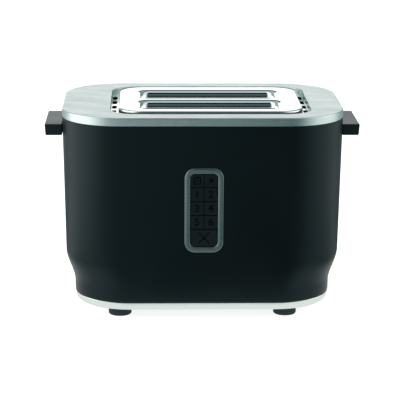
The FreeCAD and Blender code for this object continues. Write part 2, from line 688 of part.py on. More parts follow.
def make_heater_ribbon(y):
    half = BOARD_THICKNESS / 2
    low = BOARD_BOTTOM + BOARD_TAB_HEIGHT
    pitch = (BOARD_TOP - BOARD_BOTTOM - 2 * BOARD_TAB_HEIGHT) / RIBBON_TURNS
    x0 = FRAME_LEFT + BOARD_SHOULDER
    x1 = FRAME_RIGHT - BOARD_SHOULDER
    turns = []
    for index in range(RIBBON_TURNS):
        z0 = low + (index + 0.5) * pitch - RIBBON_WIDTH / 2
        z1 = z0 + RIBBON_WIDTH
        band = block(
            x0 - RIBBON_THICKNESS, x1 + RIBBON_THICKNESS,
            y - half - RIBBON_THICKNESS, y + half + RIBBON_THICKNESS, z0, z1)
        turns.append(band.cut(block(x0, x1, y - half, y + half, z0, z1)))
    return Part.makeCompound(turns)


def make_guard(y):
    """Two round bars through the end plates, joined by upright strips."""
    overhang = FRAME_SHEET + GUARD_OVERHANG
    pieces = []
    for z in (GUARD_BOTTOM_Z, GUARD_TOP_Z):
        pieces.append(rod(
            GUARD_BAR, Vector(FRAME_LEFT - overhang, y, z), Vector(FRAME_RIGHT + overhang, y, z)))
    first = FRAME_LEFT + GUARD_END_MARGIN
    pitch = (FRAME_LENGTH - 2 * GUARD_END_MARGIN) / (GUARD_STRIPS - 1)
    for index in range(GUARD_STRIPS):
        x = first + index * pitch
        pieces.append(block(
            x - GUARD_STRIP_WIDTH / 2, x + GUARD_STRIP_WIDTH / 2,
            y - GUARD_STRIP / 2, y + GUARD_STRIP / 2, GUARD_BOTTOM_Z, GUARD_TOP_Z))
    return fuse(pieces)


# Carriage
def bracket_place(side):
    """X of the bracket face that the racks meet."""
    return CHAMBER_X + side * BRACKET_REACH


def make_carriage_bracket(side):
    face = bracket_place(side)
    rod_x = rod_place(side)
    shoulder = BRACKET_BOTTOM + BRACKET_SHOULDER
    outline = [
        (-BRACKET_HALF_DEPTH, BRACKET_BOTTOM), (BRACKET_HALF_DEPTH, BRACKET_BOTTOM),
        (BRACKET_HALF_DEPTH, RACK_TOP), (BRACKET_NECK, shoulder),
        (BRACKET_NECK, BUSH_TOP), (-BRACKET_NECK, BUSH_TOP),
        (-BRACKET_NECK, shoulder), (-BRACKET_HALF_DEPTH, RACK_TOP)]
    points = [Vector(face, y, z) for y, z in outline]
    sheet = Part.Face(Part.makePolygon(points + points[:1]))
    pieces = [sheet.extrude(Vector(side * BRACKET_SHEET, 0, 0))]
    bush_bottom = BUSH_TOP - BUSH_HEIGHT
    pieces.append(rod(BUSH_DIAMETER, Vector(rod_x, 0, bush_bottom), Vector(rod_x, 0, BUSH_TOP)))
    pieces.append(block(
        min(face, rod_x), max(face, rod_x), -TONGUE_THICKNESS, TONGUE_THICKNESS,
        bush_bottom, BUSH_TOP))
    tongue_end = side * (housing_half_width(TONGUE_Z) + GRIP_GAP + TONGUE_GRASP)
    pieces.append(block(
        min(rod_x, tongue_end), max(rod_x, tongue_end),
        -TONGUE_THICKNESS / 2, TONGUE_THICKNESS / 2,
        TONGUE_Z - TONGUE_HEIGHT / 2, TONGUE_Z + TONGUE_HEIGHT / 2))
    if side < 0:
        pieces.append(block(
            rod_x - MAGNET_LENGTH / 4, face, MAGNET_Y - MAGNET_DEPTH / 2,
            MAGNET_Y + MAGNET_DEPTH / 2, BRACKET_BOTTOM, BRACKET_BOTTOM + ARMATURE_FLANGE))
        pieces.append(block(
            rod_x - SPRING_RADIUS, face, BRACKET_NECK / 2, SPRING_Y + SPRING_RADIUS,
            EAR_TOP - EAR_THICKNESS, EAR_TOP))
    bracket = fuse(pieces)
    return bracket.cut(rod(
        ROD_DIAMETER + 2 * BUSH_CLEARANCE,
        Vector(rod_x, 0, bush_bottom - BUSH_HEIGHT), Vector(rod_x, 0, BUSH_TOP)))


def make_bread_rack(y):
    """Upright web with teeth bent out to both sides, which carry the slice."""
    x0 = bracket_place(-1)
    x1 = bracket_place(1)
    web = block(x0, x1, y - RACK_WEB / 2, y + RACK_WEB / 2, RACK_TOP - RACK_HEIGHT, RACK_TOP)
    first = FRAME_LEFT + RACK_END_MARGIN
    pitch = (FRAME_LENGTH - 2 * RACK_END_MARGIN) / (RACK_TEETH - 1)
    teeth = []
    for index in range(RACK_TEETH):
        x = first + index * pitch
        way = 1 if index % 2 else -1
        tip = y + way * RACK_TOOTH_REACH
        teeth.append(block(
            x - RACK_TOOTH_WIDTH / 2, x + RACK_TOOTH_WIDTH / 2, min(y, tip), max(y, tip),
            RACK_TOP - RACK_WEB, RACK_TOP))
    return fuse([web] + teeth)


def make_grip(side):
    """Bar across the end of the body. Its far face leans in a little towards its lower edge."""
    near = housing_half_width(TONGUE_Z) + GRIP_GAP
    outline = [
        (near, GRIP_BOTTOM), (GRIP_FAR_X - GRIP_LEAN, GRIP_BOTTOM),
        (GRIP_FAR_X, GRIP_TOP), (near, GRIP_TOP)]
    points = [Vector(side * x, -GRIP_LENGTH / 2, z) for x, z in outline]
    grip = Part.Face(Part.makePolygon(points + points[:1])).extrude(Vector(0, GRIP_LENGTH, 0))
    grip = grip.makeChamfer(GRIP_BEVEL, grip.Edges)
    socket_end = near + TONGUE_GRASP + RUNNING_GAP
    half = TONGUE_THICKNESS / 2 + BUSH_CLEARANCE
    half_height = TONGUE_HEIGHT / 2 + BUSH_CLEARANCE
    socket = block(
        min(side * near, side * socket_end), max(side * near, side * socket_end),
        -half, half, TONGUE_Z - half_height, TONGUE_Z + half_height)
    return grip.cut(socket)


def make_guide_rod(side):
    x = rod_place(side)
    return rod(ROD_DIAMETER, Vector(x, 0, FLOOR_TOP), Vector(x, 0, PAN_BOTTOM - 2 * RUNNING_GAP))


def make_lift_spring():
    """Coil between the carriage's ear and the upper tab of the left end plate."""
    bottom = EAR_TOP + SPRING_WIRE / 2 + RUNNING_GAP / 2
    height = TAB_BOTTOM - SPRING_WIRE / 2 - RUNNING_GAP / 2 - bottom
    helix = Part.makeHelix(height / SPRING_TURNS, height, SPRING_RADIUS)
    half = SPRING_WIRE / 2
    corners = [
        Vector(SPRING_RADIUS + x, 0, z)
        for x, z in ((-half, -half), (half, -half), (half, half), (-half, half), (-half, -half))]
    coil = Part.Wire(helix).makePipeShell([Part.makePolygon(corners)], True, True)
    coil.translate(Vector(rod_place(-1), SPRING_Y, bottom))
    return coil


# Holding magnet
def magnet_x():
    return rod_place(-1) + MAGNET_LENGTH / 4


def make_magnet_core():
    x = magnet_x()
    y0 = MAGNET_Y - MAGNET_DEPTH / 2
    y1 = MAGNET_Y + MAGNET_DEPTH / 2
    half = MAGNET_LENGTH / 2
    yoke = block(x - half, x + half, y0, y1, FLOOR_TOP, FLOOR_TOP + MAGNET_YOKE)
    legs = [block(x - MAGNET_LEG / 2, x + MAGNET_LEG / 2, y0, y1, FLOOR_TOP, MAGNET_TOP)]
    legs.append(block(x - half, x - half + MAGNET_SIDE_LEG, y0, y1, FLOOR_TOP, MAGNET_TOP))
    legs.append(block(x + half - MAGNET_SIDE_LEG, x + half, y0, y1, FLOOR_TOP, MAGNET_TOP))
    return fuse([yoke] + legs)


def make_magnet_coil():
    x = magnet_x()
    bottom = FLOOR_TOP + MAGNET_YOKE
    top = MAGNET_TOP - MAGNET_YOKE
    width = MAGNET_LEG + 2 * COIL_GAP
    depth = MAGNET_DEPTH + 2 * COIL_GAP
    space = (MAGNET_LENGTH - MAGNET_LEG) / 2 - MAGNET_SIDE_LEG
    wall = min(COIL_WALL, space - 2 * COIL_GAP)
    coil = rounded_plate(
        width + 2 * wall, depth + 2 * wall, wall, bottom, top, x, MAGNET_Y)
    return coil.cut(block(
        x - width / 2, x + width / 2, MAGNET_Y - depth / 2, MAGNET_Y + depth / 2, bottom, top))


def make_armature():
    x = magnet_x()
    half = MAGNET_LENGTH / 2
    return block(
        x - half, min(x + half, bracket_place(-1) - RUNNING_GAP),
        MAGNET_Y - MAGNET_DEPTH / 2, MAGNET_Y + MAGNET_DEPTH / 2,
        ARMATURE_BOTTOM, BRACKET_BOTTOM)


# Keypad. It is drawn upright round its own centre, X across, Y into the body and Z up, and
# on_front leans it to the front face.
def panel_plate(width, height, corner, y0, y1, cx=0.0, cz=0.0):
    plate = rounded_plate(width, height, corner, -y1, -y0, cx, cz)
    plate.rotate(Vector(0, 0, 0), Vector(1, 0, 0), 90)
    return plate


def on_front(shape):
    shape.rotate(Vector(0, 0, 0), Vector(1, 0, 0), DRAFT_DEG)
    shape.translate(Vector(0, -housing_half_depth(PANEL_Z), PANEL_Z))
    return shape


def key_places():
    """Name, centre and size of each key, in the plane of the keypad."""
    half_width = (OPENING_WIDTH - KEY_GAP) / 2
    top = OPENING_HEIGHT / 2
    names = ("slice", "snow", "1", "2", "3", "4", "5", "6")
    places = []
    for row in range(KEY_ROWS):
        centre_z = top - (row + 0.5) * KEY_PITCH
        for column, side in enumerate((-1, 1)):
            name = f"key_{names[2 * row + column]}"
            centre_x = side * (half_width + KEY_GAP) / 2
            places.append((name, centre_x, centre_z, half_width, KEY_PITCH - KEY_GAP))
    last = OPENING_HEIGHT - KEY_ROWS * KEY_PITCH
    places.append(("key_cross", 0.0, -top + last / 2, OPENING_WIDTH, last - KEY_GAP))
    return places


def make_keypad_bezel():
    ring = panel_plate(BEZEL_WIDTH, BEZEL_HEIGHT, BEZEL_CORNER, -BEZEL_PROUD, BEZEL_BACK)
    ring = ring.cut(panel_plate(
        OPENING_WIDTH, OPENING_HEIGHT, OPENING_CORNER, -BEZEL_PROUD, BEZEL_BACK))
    front = [
        edge for edge in ring.Edges
        if abs(edge.BoundBox.YMin + BEZEL_PROUD) < 0.01
        and abs(edge.BoundBox.YMax + BEZEL_PROUD) < 0.01]
    return on_front(ring.makeFillet(BEZEL_EDGE_ROUND, front))


def make_keypad_carrier():
    margin = 2 * CARRIER_MARGIN
    carrier = panel_plate(
        BEZEL_WIDTH + margin, BEZEL_HEIGHT + margin, BEZEL_CORNER + CARRIER_MARGIN,
        HOUSING_WALL, CARRIER_BACK)
    carrier = carrier.cut(panel_plate(
        BEZEL_WIDTH + 2 * BEZEL_FIT, BEZEL_HEIGHT + 2 * BEZEL_FIT, BEZEL_CORNER + BEZEL_FIT,
        HOUSING_WALL, BEZEL_BACK))
    carrier = carrier.cut(panel_plate(
        OPENING_WIDTH, OPENING_HEIGHT, OPENING_CORNER, BEZEL_BACK, POCKET_FLOOR))
    hole = STEM_SIZE / 2 + RUNNING_GAP
    for _, x, z, _, _ in key_places():
        carrier = carrier.cut(block(
            x - hole, x + hole, POCKET_FLOOR, CARRIER_BACK, z - hole, z + hole))
    posts = []
    for sx in (-1, 1):
        for sz in (-1, 1):
            x = sx * POST_HALF_WIDTH
            z = sz * POST_HALF_HEIGHT
            posts.append(rod(POST_DIAMETER, Vector(x, CARRIER_BACK, z), Vector(x, BOARD_FACE, z)))
    return on_front(fuse([carrier] + posts))


def make_key(x, z, width, height):
    opening = panel_plate(
        OPENING_WIDTH - 2 * KEY_SIDE_GAP, OPENING_HEIGHT - 2 * KEY_SIDE_GAP,
        OPENING_CORNER - KEY_SIDE_GAP, KEY_SINK, KEY_SINK + KEY_THICKNESS)
    cap = opening.common(block(
        x - width / 2, x + width / 2, KEY_SINK, KEY_SINK + KEY_THICKNESS,
        z - height / 2, z + height / 2))
    front = [
        edge for edge in cap.Edges
        if abs(edge.BoundBox.YMin - KEY_SINK) < 0.01 and abs(edge.BoundBox.YMax - KEY_SINK) < 0.01]
    cap = cap.makeChamfer(KEY_BEVEL, front)
    tip = BOARD_FACE - SWITCH_HEIGHT - KEY_TRAVEL - RUNNING_GAP / 2
    stem = block(
        x - STEM_SIZE / 2, x + STEM_SIZE / 2, KEY_SINK + KEY_THICKNESS, tip,
        z - STEM_SIZE / 2, z + STEM_SIZE / 2)
    return on_front(cap.fuse(stem).removeSplitter())


def make_control_board():
    board = block(
        -POST_HALF_WIDTH - POST_DIAMETER / 2, POST_HALF_WIDTH + POST_DIAMETER / 2,
        BOARD_FACE, BOARD_FACE + CIRCUIT_THICKNESS,
        -POST_HALF_HEIGHT - POST_DIAMETER / 2, POST_HALF_HEIGHT + POST_DIAMETER / 2)
    half = SWITCH_SIZE / 2
    switches = [
        block(x - half, x + half, BOARD_FACE - SWITCH_HEIGHT, BOARD_FACE, z - half, z + half)
        for _, x, z, _, _ in key_places()]
    return on_front(fuse([board] + switches))


# Power board
def power_clip_places():
    return (POWER_LEFT + CLIP_SIZE / 2, POWER_RIGHT - CLIP_SIZE / 2)


def power_board_blank(fit):
    half = CIRCUIT_THICKNESS / 2 + fit
    return block(
        POWER_LEFT - fit, POWER_RIGHT + fit,
        POWER_Y - half, POWER_Y + half, FLOOR_TOP, FLOOR_TOP + POWER_HEIGHT)


def make_power_board():
    """Upright circuit board with a relay, a transformer and a round capacitor on it."""
    board = power_board_blank(0.0)
    face = POWER_Y - CIRCUIT_THICKNESS / 2
    row = FLOOR_TOP + POWER_HEIGHT - TRANSFORMER_HEIGHT - COMPONENT_GAP
    relay = block(
        POWER_X - COMPONENT_GAP - RELAY_LENGTH, POWER_X - COMPONENT_GAP,
        face - RELAY_DEPTH, face, row, row + RELAY_HEIGHT)
    transformer = block(
        POWER_X + COMPONENT_GAP, POWER_X + COMPONENT_GAP + TRANSFORMER_LENGTH,
        face - TRANSFORMER_DEPTH, face, row, row + TRANSFORMER_HEIGHT)
    middle = row - COMPONENT_GAP - CAPACITOR_DIAMETER / 2
    capacitor = rod(
        CAPACITOR_DIAMETER, Vector(POWER_X, face - CAPACITOR_LENGTH, middle),
        Vector(POWER_X, face, middle))
    return fuse([board, relay, transformer, capacitor])


# Crumb tray
def make_crumb_tray():
    x0 = CHAMBER_X - TRAY_WIDTH / 2
    x1 = CHAMBER_X + TRAY_WIDTH / 2
    top = TRAY_BOTTOM + TRAY_HEIGHT
    back = housing_half_depth(TRAY_BOTTOM) - TRAY_FACE_THICKNESS
    tray = block(x0, x1, TRAY_FRONT, back, TRAY_BOTTOM, top)
    tray = tray.cut(block(
        x0 + TRAY_SHEET, x1 - TRAY_SHEET, TRAY_FRONT + TRAY_SHEET, back,
        TRAY_BOTTOM + TRAY_SHEET, top))
    face_height = TRAY_FACE_HEIGHT
    face = block(
        CHAMBER_X - TRAY_FACE_WIDTH / 2, CHAMBER_X + TRAY_FACE_WIDTH / 2,
        back, back + TRAY_FACE_THICKNESS, TRAY_BOTTOM, TRAY_BOTTOM + face_height)
    lip_z = TRAY_BOTTOM + face_height / 2
    lip = block(
        CHAMBER_X - TRAY_LIP_WIDTH / 2, CHAMBER_X + TRAY_LIP_WIDTH / 2,
        back, back + TRAY_FACE_THICKNESS + TRAY_LIP_REACH,
        lip_z - TRAY_LIP_THICKNESS / 2, lip_z + TRAY_LIP_THICKNESS / 2)
    return fuse([tray, face, lip])


def all_parts():
    parts = {
        "outer_housing": make_outer_housing(),
        "top_cover": make_top_cover(),
        "groove_pan": make_groove_pan(),
        "slot_plate": make_slot_plate(),
        "base_ring": make_base_ring(),
        "base_plate": make_base_plate(),
        "foot_screws": make_foot_screws(),
        "cord_gland": make_cord_gland(),
        "lift_spring": make_lift_spring(),
        "magnet_core": make_magnet_core(),
        "magnet_coil": make_magnet_coil(),
        "armature": make_armature(),
        "keypad_bezel": make_keypad_bezel(),
        "keypad_carrier": make_keypad_carrier(),
        "control_board": make_control_board(),
        "power_board": make_power_board(),
        "crumb_tray": make_crumb_tray(),
    }
    for (x, y), name in zip(foot_places(), ("front_left", "front_right", "back_left", "back_right")):
        parts[f"foot_{name}"] = make_foot(x, y)
    for side, name in ((-1, "left"), (1, "right")):
        parts[f"end_plate_{name}"] = make_end_plate(side)
        parts[f"carriage_bracket_{name}"] = make_carriage_bracket(side)
        parts[f"grip_{name}"] = make_grip(side)
        parts[f"guide_rod_{name}"] = make_guide_rod(side)
    for side, name in ((-1, "front"), (1, "back")):
        parts[f"reflector_{name}"] = make_reflector(side)
        parts[f"bread_rack_{name}"] = make_bread_rack(side * SLOT_PITCH / 2)
    for y, name in ((-BOARD_OUTER_Y, "front"), (0.0, "middle"), (BOARD_OUTER_Y, "back")):
        parts[f"heater_board_{name}"] = make_heater_board(y)
        parts[f"heater_ribbon_{name}"] = make_heater_ribbon(y)
    for name, y, _ in guard_places():
        parts[name] = make_guard(y)
    for name, x, z, width, height in key_places():
        parts[name] = make_key(x, z, width, height)
    return parts


def main():
    os.makedirs(PARTS_FOLDER, exist_ok=True)
    for name, shape in all_parts().items():
        shape.exportStep(f"{PARTS_FOLDER}/{name}.step")
        print(name, len(shape.Solids), shape.isValid(), round(shape.Volume))


main()
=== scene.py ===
import logging
import math
from dataclasses import dataclass, field, replace
from enum import Enum
from typing import Callable, ClassVar, Sequence

import bmesh
import bpy
from mathutils import Matrix, Vector


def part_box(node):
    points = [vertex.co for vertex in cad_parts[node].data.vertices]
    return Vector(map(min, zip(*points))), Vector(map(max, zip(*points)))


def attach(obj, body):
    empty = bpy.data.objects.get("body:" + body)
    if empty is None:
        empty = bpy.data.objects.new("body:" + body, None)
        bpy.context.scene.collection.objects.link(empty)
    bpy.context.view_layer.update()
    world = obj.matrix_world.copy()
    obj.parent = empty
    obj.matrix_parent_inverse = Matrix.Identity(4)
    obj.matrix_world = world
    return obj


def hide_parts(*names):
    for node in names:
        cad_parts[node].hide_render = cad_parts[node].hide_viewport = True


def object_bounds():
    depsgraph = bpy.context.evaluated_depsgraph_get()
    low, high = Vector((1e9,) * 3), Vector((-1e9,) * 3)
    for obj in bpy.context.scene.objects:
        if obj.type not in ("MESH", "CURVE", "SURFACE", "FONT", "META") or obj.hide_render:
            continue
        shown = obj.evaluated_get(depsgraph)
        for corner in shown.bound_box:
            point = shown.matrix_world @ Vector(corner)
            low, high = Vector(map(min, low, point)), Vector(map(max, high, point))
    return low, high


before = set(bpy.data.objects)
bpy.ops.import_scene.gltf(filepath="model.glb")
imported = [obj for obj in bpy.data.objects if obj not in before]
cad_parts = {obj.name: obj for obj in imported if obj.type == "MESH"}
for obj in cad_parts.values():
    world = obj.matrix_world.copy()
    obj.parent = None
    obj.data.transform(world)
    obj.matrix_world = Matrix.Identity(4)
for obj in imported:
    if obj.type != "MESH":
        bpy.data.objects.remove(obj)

LOG = logging.getLogger("toaster")
CAD_LOW, CAD_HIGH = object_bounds()

MM = 0.001
WHITE = (1.0, 1.0, 1.0)
Triple = tuple[float, float, float]
Color = Triple
Point = tuple[float, float]
Mesh = bpy.types.Mesh
Node = bpy.types.Node
NodeTree = bpy.types.NodeTree
Outputs = bpy.types.NodeOutputs
Socket = bpy.types.NodeSocket
Piece = bpy.types.Object
Inputs = dict[str | int, Socket | float | Color]
Setting = float | bool | str | NodeTree | Piece


class Side(Enum):
    """The two ends of the toaster."""

    LEFT = -1
    RIGHT = 1


class Slot(Enum):
    """Material slots of the record."""

    HOUSING = "housing_black"
    COVER = "brushed_cover"
    POLISHED = "polished_steel"
    RING = "ring_steel"
    BASE = "base_plastic"
    FOOT = "foot_rubber"
    GRIP = "grip_plastic"
    BEZEL = "bezel_metal"
    KEY = "key_black"
    SHEET = "sheet_steel"
    REFLECTOR = "reflector_sheet"
    TRAY = "tray_sheet"
    WIRE = "wire_steel"
    MICA = "mica"
    HEATER = "heater_alloy"
    SPRING = "spring_steel"
    IRON = "core_iron"
    COPPER = "coil_copper"
    CIRCUIT = "circuit"
    CARRIER = "carrier_plastic"


# Shader nodes
NODE_STEP = 220.0


class Wiring:
    """Places and joins the nodes of one shader tree."""

    def __init__(self, tree: NodeTree) -> None:
        """Keeps the tree.

        Args:
            tree: The node tree of a material, a group or the world.
        """
        self.tree = tree
        self.placed = 0

    def feed(self, node: Node, inputs: Inputs) -> Node:
        """Joins sockets to a node's inputs and sets plain values on the others.

        Args:
            node: The node.
            inputs: Sockets, numbers or colours, by the input's name or place.

        Returns:
            The node.
        """
        for name, value in inputs.items():
            target = node.inputs[name]
            if isinstance(value, Socket):
                self.tree.links.new(value, target)
            elif target.type == "RGBA":
                target.default_value = (*value, 1.0)
            else:
                target.default_value = value
        return node

    def add(self, kind: str, inputs: Inputs | None = None, **settings: Setting) -> Node:
        """Places a node.

        Args:
            kind: The node's type, without its ShaderNode prefix.
            inputs: What goes into it.
            **settings: Settings of the node.

        Returns:
            The node.
        """
        node = self.tree.nodes.new("ShaderNode" + kind)
        node.location = (NODE_STEP * self.placed, 0.0)
        self.placed += 1
        for name, value in settings.items():
            setattr(node, name, value)
        return self.feed(node, inputs or {})

    def place(self) -> Socket:
        """Gives the place on the piece, in metres."""
        return self.add("TexCoord").outputs["Object"]

    def stretched(self, scale: Triple) -> Socket:
        """Gives the place on the piece, times a scale along each axis."""
        return self.add("Mapping", {"Vector": self.place(), "Scale": scale}).outputs["Vector"]

    def split(self, vector: Socket) -> Outputs:
        """Takes a vector apart into X, Y and Z."""
        return self.add("SeparateXYZ", {"Vector": vector}).outputs

    def noise(self, place: Socket, scale: Socket | float, detail: float) -> Socket:
        """Reads a noise texture at a place."""
        return self.add("TexNoise", {"Vector": place, "Scale": scale, "Detail": detail}).outputs["Fac"]

    def spread(
        self, source: Socket, low: float, high: float, start: float = 0.0, end: float = 1.0
    ) -> Socket:
        """Maps a value from low..high to start..end and holds it there."""
        inputs = {"Value": source, "From Min": low, "From Max": high, "To Min": start, "To Max": end}
        return self.add("MapRange", inputs, clamp=True).outputs["Result"]

    def math(self, operation: str, first: Socket | float, second: Socket | float = 0.0) -> Socket:
        """Works out one sum of two values, each a socket or a number."""
        return self.add("Math", {0: first, 1: second}, operation=operation).outputs[0]

    def ramp(self, source: Socket, stops: Sequence[tuple[float, Color]]) -> Socket:
        """Reads a colour from stops of place, from 0 to 1, and colour.

        Args:
            source: What is read.
            stops: Each stop's place and colour, in order.

        Returns:
            The colour.
        """
        node = self.add("ValToRGB", {"Fac": source})
        elements = node.color_ramp.elements
        while len(elements) < len(stops):
            elements.new(1.0)
        for element, (place, color) in zip(elements, stops):
            element.position = place
            element.color = (*color, 1.0)
        return node.outputs["Color"]

    def blend(
        self, factor: Socket, low: Socket | Color, high: Socket | Color, kind: str = "RGBA"
    ) -> Socket:
        """Blends two colours, or two values of another kind, by a factor."""
        inputs = {"Factor": factor, "A": low, "B": high}
        return self.add("Mix", inputs, data_type=kind).outputs["Result"]

    def choose(self, factor: Socket, first: Socket, second: Socket) -> Socket:
        """Mixes two shaders by a factor."""
        return self.add("MixShader", {0: factor, 1: first, 2: second}).outputs[0]


@dataclass(frozen=True)
class Effect:
    """A shader group that several finishes share. It is built once and then reused. Its wire
    joins the nodes from what is given to what the group puts out, and names the group."""

    wire: Callable[[Wiring, Outputs], Inputs]
    given: tuple[tuple[str, float], ...]
    built: ClassVar[dict[str, NodeTree]] = {}

    def group(self) -> NodeTree:
        """Gives the effect's node tree, made at its first use.

        Returns:
            The tree.
        """
        title = self.wire.__name__
        if title not in Effect.built:
            tree = bpy.data.node_groups.new(title, "ShaderNodeTree")
            kind = "NodeSocketFloat"
            for name, value in self.given:
                socket = tree.interface.new_socket(name=name, in_out="INPUT", socket_type=kind)
                socket.default_value = value
            wiring = Wiring(tree)
            results = self.wire(wiring, tree.nodes.new("NodeGroupInput").outputs)
            for name in results:
                tree.interface.new_socket(name=name, in_out="OUTPUT", socket_type=kind)
            wiring.feed(tree.nodes.new("NodeGroupOutput"), results)
            Effect.built[title] = tree
        return Effect.built[title]

    def place(self, wiring: Wiring, values: Inputs | None = None) -> Outputs:
        """Places the group in a material.

        Args:
            wiring: The material's wiring.
            values: Input values by name, where they aren't the given ones.

        Returns:
            The group's outputs.
        """
        return wiring.add("Group", values, node_tree=self.group()).outputs


# How many layers each noise has.
GRAIN_DETAIL = 3.0
PATCH_DETAIL = 2.0
LINE_DETAIL = 4.0
MARK_DETAIL = 5.0
WEAR_DETAIL = 2.0

# The span of a noise, and of how level a face is, that is spread over 0 to 1.
NOISE_CORE = (0.35, 0.65)
MARK_CORE = (0.4, 0.7)
LEVEL_CORE = (0.5, 0.8)
MARK_STRETCH = (1.0, 1.6, 1.0)
FLAT_POINTINESS = 0.5


def mould_grain(wiring: Wiring, given: Outputs) -> Inputs:
    """Makes fine spark-eroded grain, and soft patches, from two noises.

    Args:
        wiring: The group's wiring.
        given: What the group is given, by name.

    Returns:
        What the group puts out, by name.
    """
    place = wiring.place()
    return {
        "Height": wiring.noise(place, given["Grains per metre"], GRAIN_DETAIL),
        "Patch": wiring.noise(place, given["Patches per metre"], PATCH_DETAIL)}


def brush_lines(wiring: Wiring, given: Outputs) -> Inputs:
    """Makes lines along X on level faces and round the body on upright ones, each from its own
    stretched noise, and picks by the normal.

    Args:
        wiring: The group's wiring.
        given: What the group is given, by name.

    Returns:
        What the group puts out, by name.
    """
    place = wiring.split(wiring.place())
    readings = []
    for across in ("Y", "Z"):
        scaled = {}
        for axis in "XYZ":
            rate = given["Lines per metre" if axis == across else "Breaks per metre"]
            scaled[axis] = wiring.math("MULTIPLY", place[axis], rate)
        stretched = wiring.add("CombineXYZ", scaled).outputs["Vector"]
        readings.append(wiring.noise(stretched, 1.0, LINE_DETAIL))
    normal = wiring.split(wiring.add("NewGeometry").outputs["Normal"])
    level = wiring.spread(wiring.math("ABSOLUTE", normal["Z"]), *LEVEL_CORE)
    height = wiring.blend(level, readings[1], readings[0], "FLOAT")
    return {"Height": height, "Streak": wiring.spread(height, *NOISE_CORE)}


def hand_marks(wiring: Wiring, given: Outputs) -> Inputs:
    """Sharpens a soft noise into faint wiped patches, as hands and a cloth leave on metal."""
    marks = wiring.noise(wiring.stretched(MARK_STRETCH), given["Marks per metre"], MARK_DETAIL)
    return {"Mark": wiring.spread(marks, *MARK_CORE)}


def edge_wear(wiring: Wiring, given: Outputs) -> Inputs:
    """Reads how pointed the surface is, for wear on convex edges, and breaks it up by noise.

    Args:
        wiring: The group's wiring.
        given: What the group is given, by name.

    Returns:
        What the group puts out, by name.
    """
    breaks = wiring.noise(wiring.place(), given["Breaks per metre"], WEAR_DETAIL)
    pointed = wiring.math("SUBTRACT", wiring.add("NewGeometry").outputs["Pointiness"], FLAT_POINTINESS)
    share = wiring.math("DIVIDE", pointed, given["Reach"])
    return {"Wear": wiring.spread(wiring.math("MULTIPLY", share, breaks), 0.0, 1.0)}


MOULD_GRAIN = Effect(mould_grain, (("Grains per metre", 2600.0), ("Patches per metre", 18.0)))
BRUSH_LINES = Effect(brush_lines, (("Lines per metre", 3200.0), ("Breaks per metre", 22.0)))
HAND_MARKS = Effect(hand_marks, (("Marks per metre", 30.0),))
EDGE_WEAR = Effect(edge_wear, (("Reach", 0.08), ("Breaks per metre", 400.0)))


# Finishes
def shade(color: Color, factor: float) -> Color:
    """Gives a lighter or darker form of a colour."""
    return tuple(min(1.0, channel * factor) for channel in color)


@dataclass(frozen=True)
class Finish:
    """What every finish states. A finish makes one material and reuses it."""

    title: str
    slot: Slot
    color: Color
    roughness: float
    metallic: float = 0.0
    built: ClassVar[dict[str, bpy.types.Material]] = {}

    def material(self) -> bpy.types.Material:
        """Gives the finish's material, made at its first use.

        Returns:
            The material.
        """
        if self.title not in Finish.built:
            made = bpy.data.materials.new(self.title)
            made.use_nodes = True
            wiring = Wiring(made.node_tree)
            shader = made.node_tree.nodes["Principled BSDF"]
            wiring.feed(shader, {"Metallic": self.metallic} | self.look(wiring))
            Finish.built[self.title] = made
        return Finish.built[self.title]

    def look(self, wiring: Wiring) -> Inputs:
        """Gives what the finish's textures feed into its shader. Each finish has its own."""
        raise NotImplementedError

    def tone(self, wiring: Wiring, share: Socket, low: float, high: float) -> Socket:
        """Moves the colour between two of its shades, by a share from 0 to 1."""
        return wiring.blend(share, shade(self.color, low), shade(self.color, high))

    def gloss(self, wiring: Wiring, share: Socket, low: float, high: float) -> Socket:
        """Moves the roughness from low to high around its own, by a share from 0 to 1."""
        return wiring.spread(share, 0.0, 1.0, self.roughness + low, self.roughness + high)

    def surface(
        self, wiring: Wiring, color: Socket, rough: Socket, height: Socket, depth: float
    ) -> Inputs:
        """Gathers the shader's inputs.

        Args:
            wiring: The material's wiring.
            color: The base colour.
            rough: The roughness.
            height: The relief's height, from 0 to 1.
            depth: How deep the relief is, in metres.

        Returns:
            The inputs by name.
        """
        bump = wiring.add("Bump", {"Distance": depth, "Height": height})
        return {"Base Color": color, "Roughness": rough, "Normal": bump.outputs["Normal"]}


@dataclass(frozen=True)
class MouldedPlastic(Finish):
    """Satin plastic with fine mould grain and faintly shinier edges."""

    grain_depth: float = 0.006 * MM
    grain_rate: float = 2600.0
    tones: Point = (0.9, 1.1)
    swing: float = 0.08
    reflectance: float = 0.35
    sheen: Color = (0.6, 0.95, 1.0)

    def look(self, wiring: Wiring) -> Inputs:
        """Moves colour and gloss by the grain's patches and by wear on the edges, and tints
        what it mirrors.

        Args:
            wiring: The material's wiring.

        Returns:
            What goes into the shader, by the input's name.
        """
        grain = MOULD_GRAIN.place(wiring, {"Grains per metre": self.grain_rate})
        patch = wiring.spread(grain["Patch"], *NOISE_CORE)
        color = self.tone(wiring, patch, *self.tones)
        worn = wiring.math("MULTIPLY", EDGE_WEAR.place(wiring)["Wear"], self.swing)
        rough = wiring.math("SUBTRACT", self.gloss(wiring, patch, -self.swing / 2, self.swing / 2), worn)
        mirrored = {"Specular IOR Level": self.reflectance, "Specular Tint": self.sheen}
        return mirrored | self.surface(wiring, color, rough, grain["Height"], self.grain_depth)


